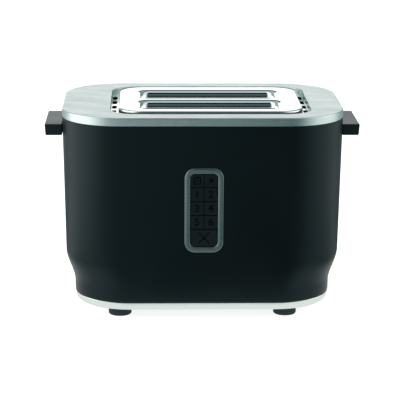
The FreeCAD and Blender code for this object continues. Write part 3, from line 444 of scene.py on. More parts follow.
@dataclass(frozen=True)
class BrushedMetal(Finish):
    """Metal with brush lines that change its colour, gloss and height."""

    metallic: float = 1.0
    line_depth: float = 0.004 * MM
    swing: float = 0.1
    contrast: float = 0.06

    def look(self, wiring: Wiring) -> Inputs:
        """Moves colour and gloss by the streaks, and gloss also by marks.

        Args:
            wiring: The material's wiring.

        Returns:
            What goes into the shader, by the input's name.
        """
        lines = BRUSH_LINES.place(wiring)
        streak = lines["Streak"]
        color = self.tone(wiring, streak, 1.0 - self.contrast, 1.0 + self.contrast)
        marked = wiring.math("MULTIPLY", HAND_MARKS.place(wiring)["Mark"], self.swing / 2)
        rough = wiring.math("ADD", self.gloss(wiring, streak, -self.swing / 2, self.swing / 2), marked)
        return self.surface(wiring, color, rough, lines["Height"], self.line_depth)


@dataclass(frozen=True)
class PolishedMetal(Finish):
    """Bright metal with faint wiped patches and a very slight waviness."""

    metallic: float = 1.0
    swing: float = 0.06
    marked_tone: float = 0.95
    waves_per_metre: float = 60.0
    wave_detail: float = 1.0
    wave_depth: float = 0.01 * MM

    def look(self, wiring: Wiring) -> Inputs:
        """Moves gloss and colour by the marks, and the surface by a soft wave.

        Args:
            wiring: The material's wiring.

        Returns:
            What goes into the shader, by the input's name.
        """
        mark = HAND_MARKS.place(wiring)["Mark"]
        color = self.tone(wiring, mark, 1.0, self.marked_tone)
        wave = wiring.noise(wiring.place(), self.waves_per_metre, self.wave_detail)
        rough = self.gloss(wiring, mark, 0.0, self.swing)
        return self.surface(wiring, color, rough, wave, self.wave_depth)


@dataclass(frozen=True)
class DrawnMetal(Finish):
    """Plain sheet or wire with fine grain, a mottled tone and brighter edges."""

    metallic: float = 1.0
    tint: Color = (0.5, 0.44, 0.36)
    tint_share: float = 0.25
    swing: float = 0.12
    worn_tone: float = 1.3
    worn_reach: float = 0.1
    grains_per_metre: float = 900.0
    patches_per_metre: float = 45.0
    grain_depth: float = 0.01 * MM

    def look(self, wiring: Wiring) -> Inputs:
        """Mixes the metal with a heat tint in patches and lightens its edges.

        Args:
            wiring: The material's wiring.

        Returns:
            What goes into the shader, by the input's name.
        """
        rates = {"Grains per metre": self.grains_per_metre, "Patches per metre": self.patches_per_metre}
        grain = MOULD_GRAIN.place(wiring, rates)
        patch = wiring.spread(grain["Patch"], *NOISE_CORE)
        tinted = tuple(
            channel * (1 - self.tint_share) + tint * self.tint_share
            for channel, tint in zip(self.color, self.tint))
        mottled = wiring.blend(patch, self.color, tinted)
        wear = EDGE_WEAR.place(wiring, {"Reach": self.worn_reach})["Wear"]
        color = wiring.blend(wear, mottled, shade(self.color, self.worn_tone))
        rough = self.gloss(wiring, patch, 0.0, self.swing)
        return self.surface(wiring, color, rough, grain["Height"], self.grain_depth)


@dataclass(frozen=True)
class MicaBoard(Finish):
    """Pressed mica: flakes of slightly different tone and gloss."""

    flakes_per_metre: float = 350.0
    flake_stretch: Triple = (1.0, 1.0, 0.7)
    tones: Point = (0.82, 1.15)
    swing: float = 0.15
    flake_depth: float = 0.03 * MM

    def look(self, wiring: Wiring) -> Inputs:
        """Takes the flakes from a cell texture.

        Args:
            wiring: The material's wiring.

        Returns:
            What goes into the shader, by the input's name.
        """
        place = wiring.stretched(self.flake_stretch)
        cells = wiring.add("TexVoronoi", {"Scale": self.flakes_per_metre, "Vector": place}).outputs
        flake = wiring.add("SeparateColor", {"Color": cells["Color"]}).outputs["Red"]
        color = self.tone(wiring, flake, *self.tones)
        rough = self.gloss(wiring, flake, -self.swing, 0.0)
        return self.surface(wiring, color, rough, cells["Distance"], self.flake_depth)


@dataclass(frozen=True)
class WoundWire(Finish):
    """Enamelled wire wound in even layers round an upright core."""

    metallic: float = 0.8
    band_scale: float = 110.0
    wobble: float = 0.4
    tones: Point = (0.55, 1.2)
    swing: float = 0.2
    turn_depth: float = 0.12 * MM

    def look(self, wiring: Wiring) -> Inputs:
        """Makes the turns from level bands.

        Args:
            wiring: The material's wiring.

        Returns:
            What goes into the shader, by the input's name.
        """
        inputs = {"Scale": self.band_scale, "Distortion": self.wobble, "Vector": wiring.place()}
        bands = wiring.add("TexWave", inputs, wave_type="BANDS", bands_direction="Z").outputs["Fac"]
        color = self.tone(wiring, bands, *self.tones)
        rough = self.gloss(wiring, bands, self.swing, 0.0)
        return self.surface(wiring, color, rough, bands, self.turn_depth)


@dataclass(frozen=True)
class CircuitLacquer(Finish):
    """Green lacquered board with faint copper tracks beneath."""

    tracks_per_metre: float = 260.0
    track_width: float = 0.06
    track_offset: float = 0.35
    track_squash: float = 1.4
    field_tone: float = 0.8
    track_tone: float = 2.0
    swing: float = 0.2
    track_depth: float = 0.02 * MM

    def look(self, wiring: Wiring) -> Inputs:
        """Draws the tracks as the seams of a brick texture.

        Args:
            wiring: The material's wiring.

        Returns:
            What goes into the shader, by the input's name.
        """
        upright = wiring.add("Mapping", {"Vector": wiring.place(), "Rotation": (math.pi / 2, 0.0, 0.0)})
        inputs = {
            "Vector": upright.outputs["Vector"], "Scale": self.tracks_per_metre,
            "Mortar Size": self.track_width, "Color1": self.color,
            "Color2": shade(self.color, self.field_tone), "Mortar": shade(self.color, self.track_tone)}
        pattern = {"offset": self.track_offset, "squash": self.track_squash}
        tracks = wiring.add("TexBrick", inputs, **pattern).outputs
        rough = self.gloss(wiring, tracks["Fac"], 0.0, self.swing)
        return self.surface(wiring, tracks["Color"], rough, tracks["Fac"], self.track_depth)


HOUSING_BLACK = MouldedPlastic("housing_satin", Slot.HOUSING, (0.0024, 0.0034, 0.0045), 0.34)
GRIP_BLACK = MouldedPlastic("grip_satin", Slot.GRIP, (0.009, 0.013, 0.015), 0.36, grain_rate=3400.0)
KEY_BLACK = MouldedPlastic("key_satin", Slot.KEY, (0.0055, 0.0068, 0.0088), 0.46, grain_rate=4200.0)
KEY_MARK = MouldedPlastic(
    "key_mark", Slot.KEY, (0.0008, 0.001, 0.0012), 0.7, grain_rate=4200.0, reflectance=0.1)
BASE_BLACK = MouldedPlastic("base_matt", Slot.BASE, (0.012, 0.013, 0.014), 0.6, grain_rate=1800.0)
CARRIER_BLACK = MouldedPlastic("carrier_matt", Slot.CARRIER, (0.006, 0.006, 0.007), 0.6)
FOOT_RUBBER = MouldedPlastic(
    "foot_rubber", Slot.FOOT, (0.022, 0.030, 0.032), 0.7, grain_depth=0.03 * MM, grain_rate=1500.0)
COVER_STEEL = BrushedMetal("cover_brushed", Slot.COVER, (0.78, 0.88, 0.86), 0.3)
# Painted shade: the cover's own steel, darkened for the recess wall where shade falls.
SHADED_RECESS_STEEL = BrushedMetal("cover_wall", Slot.COVER, (0.52, 0.62, 0.61), 0.3)
RING_STEEL = BrushedMetal("ring_satin", Slot.RING, (0.94, 0.97, 0.93), 0.15, contrast=0.03)
BEZEL_STEEL = BrushedMetal("bezel_satin", Slot.BEZEL, (0.38, 0.44, 0.43), 0.3, contrast=0.05)
PLATE_STEEL = PolishedMetal("plate_polished", Slot.POLISHED, (0.95, 0.96, 0.955), 0.06)
SHEET_STEEL = DrawnMetal("sheet_plain", Slot.SHEET, (0.50, 0.51, 0.52), 0.42)
REFLECTOR_SHEET = DrawnMetal("reflector_bright", Slot.REFLECTOR, (0.62, 0.63, 0.64), 0.3)
TRAY_SHEET = DrawnMetal("tray_dull", Slot.TRAY, (0.55, 0.56, 0.57), 0.38, tint_share=0.1)
WIRE_STEEL = DrawnMetal("wire_drawn", Slot.WIRE, (0.62, 0.63, 0.63), 0.3)
SPRING_WIRE = DrawnMetal("spring_wire", Slot.SPRING, (0.38, 0.39, 0.41), 0.35, tint_share=0.1)
CORE_IRON = DrawnMetal("core_iron", Slot.IRON, (0.22, 0.22, 0.23), 0.5, tint_share=0.1)
HEATER_ALLOY = DrawnMetal(
    "heater_ribbon", Slot.HEATER, (0.22, 0.19, 0.17), 0.5, tint=(0.16, 0.11, 0.12), tint_share=0.6)
MICA = MicaBoard("mica_board", Slot.MICA, (0.42, 0.36, 0.27), 0.6)
COPPER = WoundWire("copper_winding", Slot.COPPER, (0.55, 0.26, 0.13), 0.3)
CIRCUIT = CircuitLacquer("circuit_lacquer", Slot.CIRCUIT, (0.02, 0.13, 0.05), 0.3)


# Meshes
SHARP_ANGLE = math.radians(32.0)
BEVEL_ANGLE = math.radians(50.0)
SMALLEST_CORNER = 0.05 * MM
SAME_POINT = 0.002 * MM
CORNERS = ((1, 1), (-1, 1), (-1, -1), (1, -1))


@dataclass(frozen=True)
class Outline:
    """A rounded rectangle: half sizes, corner radius and centre, in metres. Corners named in
    square, each by its two signs, are left almost sharp."""

    half_x: float
    half_y: float
    corner: float
    centre_x: float = 0.0
    centre_y: float = 0.0
    square: frozenset[tuple[int, int]] = frozenset()
    arc_steps: int = 14
    side_steps: int = 8

    def grown(self, by: float) -> "Outline":
        """Gives the outline moved out by a distance, or in if it is negative."""
        return replace(self, half_x=self.half_x + by, half_y=self.half_y + by, corner=self.corner + by)

    def points(self) -> list[Point]:
        """Gives the points round the outline, as many for each outline with the same steps.

        Returns:
            The points, anticlockwise from the right.
        """
        corners = []
        for index, (sx, sy) in enumerate(CORNERS):
            radius = SMALLEST_CORNER if (sx, sy) in self.square else max(self.corner, SMALLEST_CORNER)
            x = self.centre_x + sx * (self.half_x - radius)
            y = self.centre_y + sy * (self.half_y - radius)
            turns = [math.pi / 2 * (index + step / self.arc_steps) for step in range(self.arc_steps + 1)]
            corners.append([(x + radius * math.cos(turn), y + radius * math.sin(turn)) for turn in turns])
        points = []
        for index, bend in enumerate(corners):
            points += bend
            start = bend[-1]
            end = corners[(index + 1) % len(corners)][0]
            for step in range(1, self.side_steps):
                share = step / self.side_steps
                points.append(tuple(near + (far - near) * share for near, far in zip(start, end)))
        return points

    def ring(self, level: float) -> list[Vector]:
        """Gives the outline's points at a height."""
        return [Vector((x, y, level)) for x, y in self.points()]

    def swept(self, section: Sequence[Point]) -> list[list[Vector]]:
        """Gives the outline's rings along a section of inset and height."""
        return [self.grown(-inset).ring(level) for inset, level in section]


def arc(centre: Point, radius: float, start: float, end: float, steps: int) -> list[Point]:
    """Gives points on an arc of a section, both ends included.

    Args:
        centre: The arc's centre.
        radius: The arc's radius.
        start: The first angle, in degrees.
        end: The last angle, in degrees.
        steps: How many stretches the arc has.

    Returns:
        The points.
    """
    turns = [math.radians(start + (end - start) * step / steps) for step in range(steps + 1)]
    return [(centre[0] + radius * math.cos(turn), centre[1] + radius * math.sin(turn)) for turn in turns]


def shoulder(radius: float, top: float, steps: int) -> list[Point]:
    """Gives the rounded edge of a section of inset and height, up to its top."""
    return arc((radius, top - radius), radius, 180, 90, steps)


def link(name: str, data: bpy.types.ID) -> Piece:
    """Puts a mesh, a curve, a camera or a lamp in the scene as an object.

    Args:
        name: The object's name.
        data: What it shows.

    Returns:
        The object.
    """
    made = bpy.data.objects.new(name, data)
    bpy.context.scene.collection.objects.link(made)
    return made


def loft(
    name: str, rings: Sequence[Sequence[Vector]], closed: bool = False, capped: bool = False
) -> Piece:
    """Joins rings of points, all with the same count, into a skin.

    Args:
        name: The object's name.
        rings: The rings, in order. Rings that run upwards face outwards.
        closed: True if the last ring joins the first.
        capped: True if the first and the last ring are filled.

    Returns:
        The object.
    """
    count = len(rings[0])
    faces = []
    for row in range(len(rings) if closed else len(rings) - 1):
        low = row * count
        high = (row + 1) % len(rings) * count
        for index in range(count):
            following = (index + 1) % count
            faces.append((low + index, low + following, high + following, high + index))
    if capped:
        last = (len(rings) - 1) * count
        faces.append(tuple(reversed(range(count))))
        faces.append(tuple(range(last, last + count)))
    mesh = bpy.data.meshes.new(name)
    mesh.from_pydata([tuple(point) for ring in rings for point in ring], [], faces)
    mesh.update()
    return link(name, mesh)


def worked_out(target: Piece) -> Mesh:
    """Gives the mesh that an object's modifiers or its curve come to.

    Args:
        target: The object.

    Returns:
        The mesh, as new data.
    """
    bpy.context.view_layer.update()
    graph = bpy.context.evaluated_depsgraph_get()
    return bpy.data.meshes.new_from_object(target.evaluated_get(graph))


def modify(target: Piece, kind: str, **settings: Setting) -> Piece:
    """Applies a modifier to an object.

    Args:
        target: The object.
        kind: The modifier's type.
        **settings: Its settings.

    Returns:
        The object.
    """
    modifier = target.modifiers.new(kind.lower(), kind)
    for name, value in settings.items():
        setattr(modifier, name, value)
    mesh = worked_out(target)
    target.modifiers.clear()
    target.data = mesh
    return target


def thicken(target: Piece, thickness: float) -> Piece:
    """Gives a skin a thickness on its inner side."""
    return modify(target, "SOLIDIFY", thickness=thickness, offset=-1.0, use_even_offset=True)


def carve(target: Piece, cutters: Sequence[Piece]) -> Piece:
    """Cuts closed shapes out of an object and removes them.

    Args:
        target: The object to cut.
        cutters: The closed shapes.

    Returns:
        The object.
    """
    ways = {"operation": "DIFFERENCE", "solver": "EXACT", "use_self": True, "material_mode": "TRANSFER"}
    for cutter in cutters:
        modify(target, "BOOLEAN", object=cutter, **ways)
        bpy.data.objects.remove(cutter)
    return target


def soften(target: Piece, width: float, steps: int = 2) -> Piece:
    """Rounds an object's sharp edges.

    Args:
        target: The object.
        width: How far the rounding reaches, in metres.
        steps: How many facets it has.

    Returns:
        The object.
    """
    return modify(
        target, "BEVEL", width=width, segments=steps, limit_method="ANGLE", angle_limit=BEVEL_ANGLE,
        use_clamp_overlap=True, miter_outer="MITER_ARC")


def smooth(target: Piece) -> Piece:
    """Shades an object smooth, apart from its sharp edges, and turns its faces outwards.

    Args:
        target: The object.

    Returns:
        The object.
    """
    shaped = bmesh.new()
    shaped.from_mesh(target.data)
    bmesh.ops.remove_doubles(shaped, verts=shaped.verts, dist=SAME_POINT)
    bmesh.ops.recalc_face_normals(shaped, faces=shaped.faces)
    shaped.to_mesh(target.data)
    shaped.free()
    target.data.shade_smooth()
    target.data.set_sharp_from_angle(angle=SHARP_ANGLE)
    return target


def solid_block(name: str, low: Vector, high: Vector) -> Piece:
    """Makes a closed block, for cutting."""
    plan = ((high.x, high.y), (low.x, high.y), (low.x, low.y), (high.x, low.y))
    return loft(name, [[Vector((x, y, z)) for x, y in plan] for z in (low.z, high.z)], capped=True)


def round_ring(centre: Vector, radius: float, level: float, steps: int = 48) -> list[Vector]:
    """Gives a level circle of points round an upright axis.

    Args:
        centre: A point on the axis.
        radius: The circle's radius.
        level: Its height.
        steps: How many points it has.

    Returns:
        The points.
    """
    turns = [2 * math.pi * step / steps for step in range(steps)]
    return [
        Vector((centre.x + radius * math.cos(turn), centre.y + radius * math.sin(turn), level))
        for turn in turns]


def dress(piece: Piece, *finishes: Finish) -> None:
    """Gives a piece its materials, face by face as it has them.

    Args:
        piece: The piece.
        *finishes: Its finishes, in the order of its slots.
    """
    slots = [0] * len(piece.data.polygons)
    if len(finishes) > 1:
        piece.data.polygons.foreach_get("material_index", slots)
    piece.data.materials.clear()
    for finish in finishes:
        piece.data.materials.append(finish.material())
    piece.data.polygons.foreach_set("material_index", slots)


def settle(piece: Piece, body: str, node: str, *finishes: Finish) -> None:
    """Smooths and dresses a new piece, lets it ride on its body and stand for its solid.

    Args:
        piece: The new piece, in place.
        body: The body that it moves with.
        node: The solid that it stands for.
        *finishes: Its finishes, in the order of its material slots.
    """
    dress(modify(smooth(piece), "WEIGHTED_NORMAL", keep_sharp=True), *finishes)
    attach(piece, body)
    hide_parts(node)
    LOG.info("%s: %d faces, rides on %s", piece.name, len(piece.data.polygons), body)


def dress_solids(finish: Finish, *nodes: str) -> None:
    """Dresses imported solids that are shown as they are.

    Args:
        finish: Their finish.
        *nodes: The solids' names.
    """
    for node in nodes:
        dress(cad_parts[node], finish)
        LOG.info("%s: packed solid, %s", node, finish.title)


# The body
@dataclass
class BodyForm:
    """The drafted, waisted form that the housing, ring and cover share."""

    width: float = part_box("top_cover")[1].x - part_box("top_cover")[0].x
    depth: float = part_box("top_cover")[1].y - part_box("top_cover")[0].y
    corner: float = 57.0 * MM
    top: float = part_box("top_cover")[0].z
    bottom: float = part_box("outer_housing")[0].z
    draft: float = math.radians(1.1)
    waist_drop: float = 7.8 * MM
    waist_low: float = 29.0 * MM
    waist_high: float = 60.0 * MM

    def outline(self, level: float) -> Outline:
        """Gives the body's outline at a height.

        Args:
            level: The height above the floor.

        Returns:
            The outline.
        """
        inset = (self.top - level) * math.tan(self.draft)
        share = (level - self.waist_low) / (self.waist_high - self.waist_low)
        share = min(1.0, max(0.0, share))
        waist = self.waist_drop * (1 - share * share * (3 - 2 * share))
        return Outline(self.width / 2 - inset - waist, self.depth / 2 - inset, self.corner - inset)

    def front(self, level: float) -> float:
        """Gives the front face's place in Y at a height."""
        return -self.outline(level).half_y


FORM = BodyForm()


@dataclass
class OuterHousing:
    """The black housing with its lever slots, keypad window and tray window."""

    wall: float = 2.5 * MM
    foot_round: float = 1.0 * MM
    foot_steps: int = 5
    top_bevel: float = 0.4 * MM
    foot_levels: int = 2
    waist_levels: int = 18
    wall_levels: int = 8
    cut_round: float = 0.35 * MM
    lever_slot_half: float = 2.3 * MM
    lever_slot_low: float = 86.0 * MM
    lever_slot_high: float = 183.0 * MM
    window_fit: float = 0.2 * MM
    tray_gap: float = 0.4 * MM

    def skin(self) -> Piece:
        """Builds the outer skin, from the rounded foot to the bevelled top.

        Returns:
            The skin, open at both ends.
        """
        rings = []
        centre = (self.foot_round, self.foot_round)
        for inset, rise in arc(centre, self.foot_round, 270, 180, self.foot_steps):
            level = FORM.bottom + rise
            rings.append(FORM.outline(level).grown(-inset).ring(level))
        for low, high, steps in (
            (FORM.bottom + self.foot_round, FORM.waist_low, self.foot_levels),
            (FORM.waist_low, FORM.waist_high, self.waist_levels),
            (FORM.waist_high, FORM.top - self.top_bevel, self.wall_levels),
        ):
            levels = [low + (high - low) * step / steps for step in range(1, steps + 1)]
            rings += [FORM.outline(level).ring(level) for level in levels]
        rings += FORM.outline(FORM.top).swept([(self.top_bevel, FORM.top), (self.wall, FORM.top)])
        return loft("outer_housing_shell", rings)

    def cutters(self, keypad: "Keypad") -> list[Piece]:
        """Makes the shapes of the lever slots and the two windows.

        Args:
            keypad: The keypad, which has its own window.

        Returns:
            The closed shapes.
        """
        reach = FORM.width
        levers = solid_block(
            "lever_slots", Vector((-reach, -self.lever_slot_half, self.lever_slot_low)),
            Vector((reach, self.lever_slot_half, self.lever_slot_high)))
        low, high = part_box("crumb_tray")
        half_face = (high.x - low.x) / 2 + self.tray_gap
        middle = (high.x + low.x) / 2
        tray = solid_block(
            "tray_window", Vector((middle - half_face, 0.0, low.z - self.tray_gap / 2)),
            Vector((middle + half_face, reach, high.z + self.tray_gap)))
        return [levers, keypad.window_cutter(self.window_fit, self.wall), tray]

    def build(self, keypad: "Keypad") -> None:
        """Builds the housing and cuts it for what passes through.

        Args:
            keypad: The keypad that sits in the housing's front.
        """
        shell = carve(thicken(self.skin(), self.wall), self.cutters(keypad))
        settle(soften(shell, self.cut_round), "chassis", "outer_housing", HOUSING_BLACK)


@dataclass
class BaseRing:
    """The bright ring under the housing, with its rounded lower edge."""

    step: float = 0.5 * MM
    band: float = 9.0 * MM
    height: float = 8.0 * MM
    lower_round: float = 5.0 * MM
    lower_steps: int = 12
    upper_round: float = 0.5 * MM
    upper_steps: int = 4
    support: float = 0.3 * MM

    def build(self) -> None:
        """Sweeps the ring's section round the body."""
        bottom = FORM.bottom - self.height
        section = [(self.band, bottom), (self.lower_round + self.support, bottom)]
        centre = (self.lower_round, bottom + self.lower_round)
        section += arc(centre, self.lower_round, 270, 180, self.lower_steps)
        section += shoulder(self.upper_round, FORM.bottom, self.upper_steps)
        section.append((self.band, FORM.bottom))
        rings = FORM.outline(FORM.bottom).grown(-self.step).swept(section)
        settle(loft("base_ring_band", rings, closed=True), "chassis", "base_ring", RING_STEEL)


@dataclass
class RubberFoot:
    """One round foot with a hollow for its screw."""

    node: str
    edge_round: float = 1.6 * MM
    edge_steps: int = 8
    well_radius: float = 5.0 * MM
    well_depth: float = 5.0 * MM
    groove: float = 0.5 * MM

    def build(self) -> None:
        """Turns the foot's section round its axis."""
        low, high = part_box(self.node)
        centre = (low + high) / 2
        radius = (high.x - low.x) / 2
        sole = (self.well_radius + radius - self.edge_round) / 2
        section = [
            (self.well_radius, self.well_depth), (self.well_radius, self.groove),
            (self.well_radius + self.groove, 0.0), (sole - self.groove, 0.0),
            (sole - self.groove / 2, self.groove), (sole + self.groove / 2, self.groove),
            (sole + self.groove, 0.0)]
        bend = (radius - self.edge_round, self.edge_round)
        section += arc(bend, self.edge_round, 270, 360, self.edge_steps)
        section += [(radius, high.z - self.groove), (radius - self.groove, high.z)]
        section.append((self.well_radius, high.z))
        rings = [round_ring(centre, across, level) for across, level in section]
        settle(loft(f"{self.node}_rubber", rings, closed=True), "chassis", self.node, FOOT_RUBBER)


@dataclass
class Underside:
    """The base: ring, four feet, base plate, screws and cord gland."""

    feet: tuple[str, ...] = ("foot_front_left", "foot_front_right", "foot_back_left", "foot_back_right")

    def build(self) -> None:
        """Builds the ring and the feet and dresses the solids between them."""
        BaseRing().build()
        for node in self.feet:
            RubberFoot(node).build()
        dress_solids(BASE_BLACK, "base_plate", "cord_gland")
        dress_solids(WIRE_STEEL, "foot_screws")


# The top
@dataclass
class TopForm:
    """Sizes that the cover, the groove pan and the slot plate share."""

    plate_low: Vector = field(default_factory=lambda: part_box("slot_plate")[0])
    plate_high: Vector = field(default_factory=lambda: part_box("slot_plate")[1])
    groove: float = 8.0 * MM
    plate_corner: float = 24.0 * MM
    recess_corner: float = 27.0 * MM
    slot_length: float = 130.0 * MM
    slot_width: float = 31.0 * MM
    slot_corner: float = 6.0 * MM
    slot_pitch: float = 55.6 * MM
    slot_x: float = 7.0 * MM
    slot_steps: int = 10

    def plate(self) -> Outline:
        """Gives the slot plate's outline.

        Returns:
            The outline.
        """
        size = self.plate_high - self.plate_low
        middle = (self.plate_high + self.plate_low) / 2
        return Outline(size.x / 2, size.y / 2, self.plate_corner, middle.x, middle.y)

    def recess(self) -> Outline:
        """Gives the outline of the cover's recess."""
        return replace(self.plate().grown(self.groove), corner=self.recess_corner)

    def slots(self) -> list[Outline]:
        """Gives the outlines of the two bread slots.

        Returns:
            The outlines, the front slot first.
        """
        return [
            Outline(
                self.slot_length / 2, self.slot_width / 2, self.slot_corner, self.slot_x,
                side * self.slot_pitch / 2, arc_steps=self.slot_steps)
            for side in (-1, 1)]


TOP = TopForm()


@dataclass
class TopCover:
    """The brushed cover, from its rim over the edge to the wall of its recess."""

    sheet: float = 1.2 * MM
    edge_round: float = 0.9 * MM
    edge_steps: int = 6
    seam: float = 0.35 * MM
    support: float = 0.5 * MM
    wall_slope: float = 0.5

    def build(self) -> None:
        """Sweeps the rim and the recess wall and joins them by the flat top. The wall takes a darker copy
        of the cover's steel, painted shade for the recess."""
        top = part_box("top_cover")[1].z
        edge = shoulder(self.edge_round, top, self.edge_steps)
        edge.append((self.edge_round + self.support, top))
        rim = [(self.seam, FORM.top), (0.0, FORM.top + self.seam)] + edge
        rings = Outline(FORM.width / 2, FORM.depth / 2, FORM.corner).swept(rim)
        recess = TOP.recess()
        wall = edge[::-1] + [(0.0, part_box("groove_pan")[1].z)]
        rings += recess.swept([(-inset, level) for inset, level in wall])
        cover = thicken(loft("top_cover_sheet", rings), self.sheet)
        for face in cover.data.polygons:
            inside = abs(face.center.x - recess.centre_x) < recess.half_x + self.sheet
            inside = inside and abs(face.center.y - recess.centre_y) < recess.half_y + self.sheet
            # The recess wall's steep faces take the darker copy of the steel: painted shade.
            face.material_index = int(inside and abs(face.normal.z) < self.wall_slope)
        settle(cover, "chassis", "top_cover", COVER_STEEL, SHADED_RECESS_STEEL)


@dataclass
class SlotPlate:
    """The polished plate with its two slots, whose lips roll down into the chambers."""

    sheet: float = 1.2 * MM
    edge_round: float = 2.0 * MM
    edge_steps: int = 8
    lip_round: float = 7.4 * MM
    lip_steps: int = 12
    near_stretch: float = 5.5 * MM
    support: float = 0.4 * MM
    rim_reach: float = 0.001 * MM

    def lip(self, slot: Outline, inset: float) -> Outline:
        """Gives a slot's outline where its lip stands out by an inset, wider at the near side.

        Args:
            slot: The slot's own outline.
            inset: How far the lip stands out from it here.

        Returns:
            The outline.
        """
        stretch = self.near_stretch * inset / (self.lip_round + self.support)
        grown = slot.grown(inset)
        return replace(grown, half_y=grown.half_y + stretch / 2, centre_y=grown.centre_y - stretch / 2)

    def flat_top(self, skins: Sequence[Piece], level: float) -> Piece:
        """Joins the skirt and the two lips by a flat face with two holes.

        Args:
            skins: The skirt and the lips, which are used up.
            level: The height of the top.

        Returns:
            The joined sheet.
        """
        shaped = bmesh.new()
        for skin in skins:
            shaped.from_mesh(skin.data)
            bpy.data.objects.remove(skin)
        rim = [
            edge for edge in shaped.edges
            if edge.is_boundary and all(abs(end.co.z - level) < self.rim_reach for end in edge.verts)]
        bmesh.ops.triangle_fill(shaped, use_beauty=True, use_dissolve=False, edges=rim)
        mesh = bpy.data.meshes.new("slot_plate_sheet")
        shaped.to_mesh(mesh)
        shaped.free()
        return link("slot_plate_sheet", mesh)

    def build(self) -> None:
        """Sweeps the skirt and both lips and fills the top between them."""
        top = TOP.plate_high.z
        bottom = TOP.plate_low.z
        section = [(0.0, bottom)] + shoulder(self.edge_round, top, self.edge_steps)
        section.append((self.edge_round + self.support, top))
        skins = [loft("plate_skirt", TOP.plate().swept(section))]
        section = [(self.lip_round + self.support, top)]
        section += shoulder(self.lip_round, top, self.lip_steps)[::-1]
        section.append((0.0, bottom))
        for slot in TOP.slots():
            rings = [self.lip(slot, inset).ring(level) for inset, level in section]
            skins.append(loft("plate_lip", rings))
        plate = smooth(self.flat_top(skins, top))
        if sum(face.normal.z for face in plate.data.polygons) < 0:
            plate.data.flip_normals()
        settle(thicken(plate, self.sheet), "chassis", "slot_plate", PLATE_STEEL)


@dataclass
class TopSet:
    """Cover, groove pan and slot plate."""

    def build(self) -> None:
        """Builds the two sheets and dresses the pan between them."""
        TopCover().build()
        SlotPlate().build()
        dress_solids(PLATE_STEEL, "groove_pan")


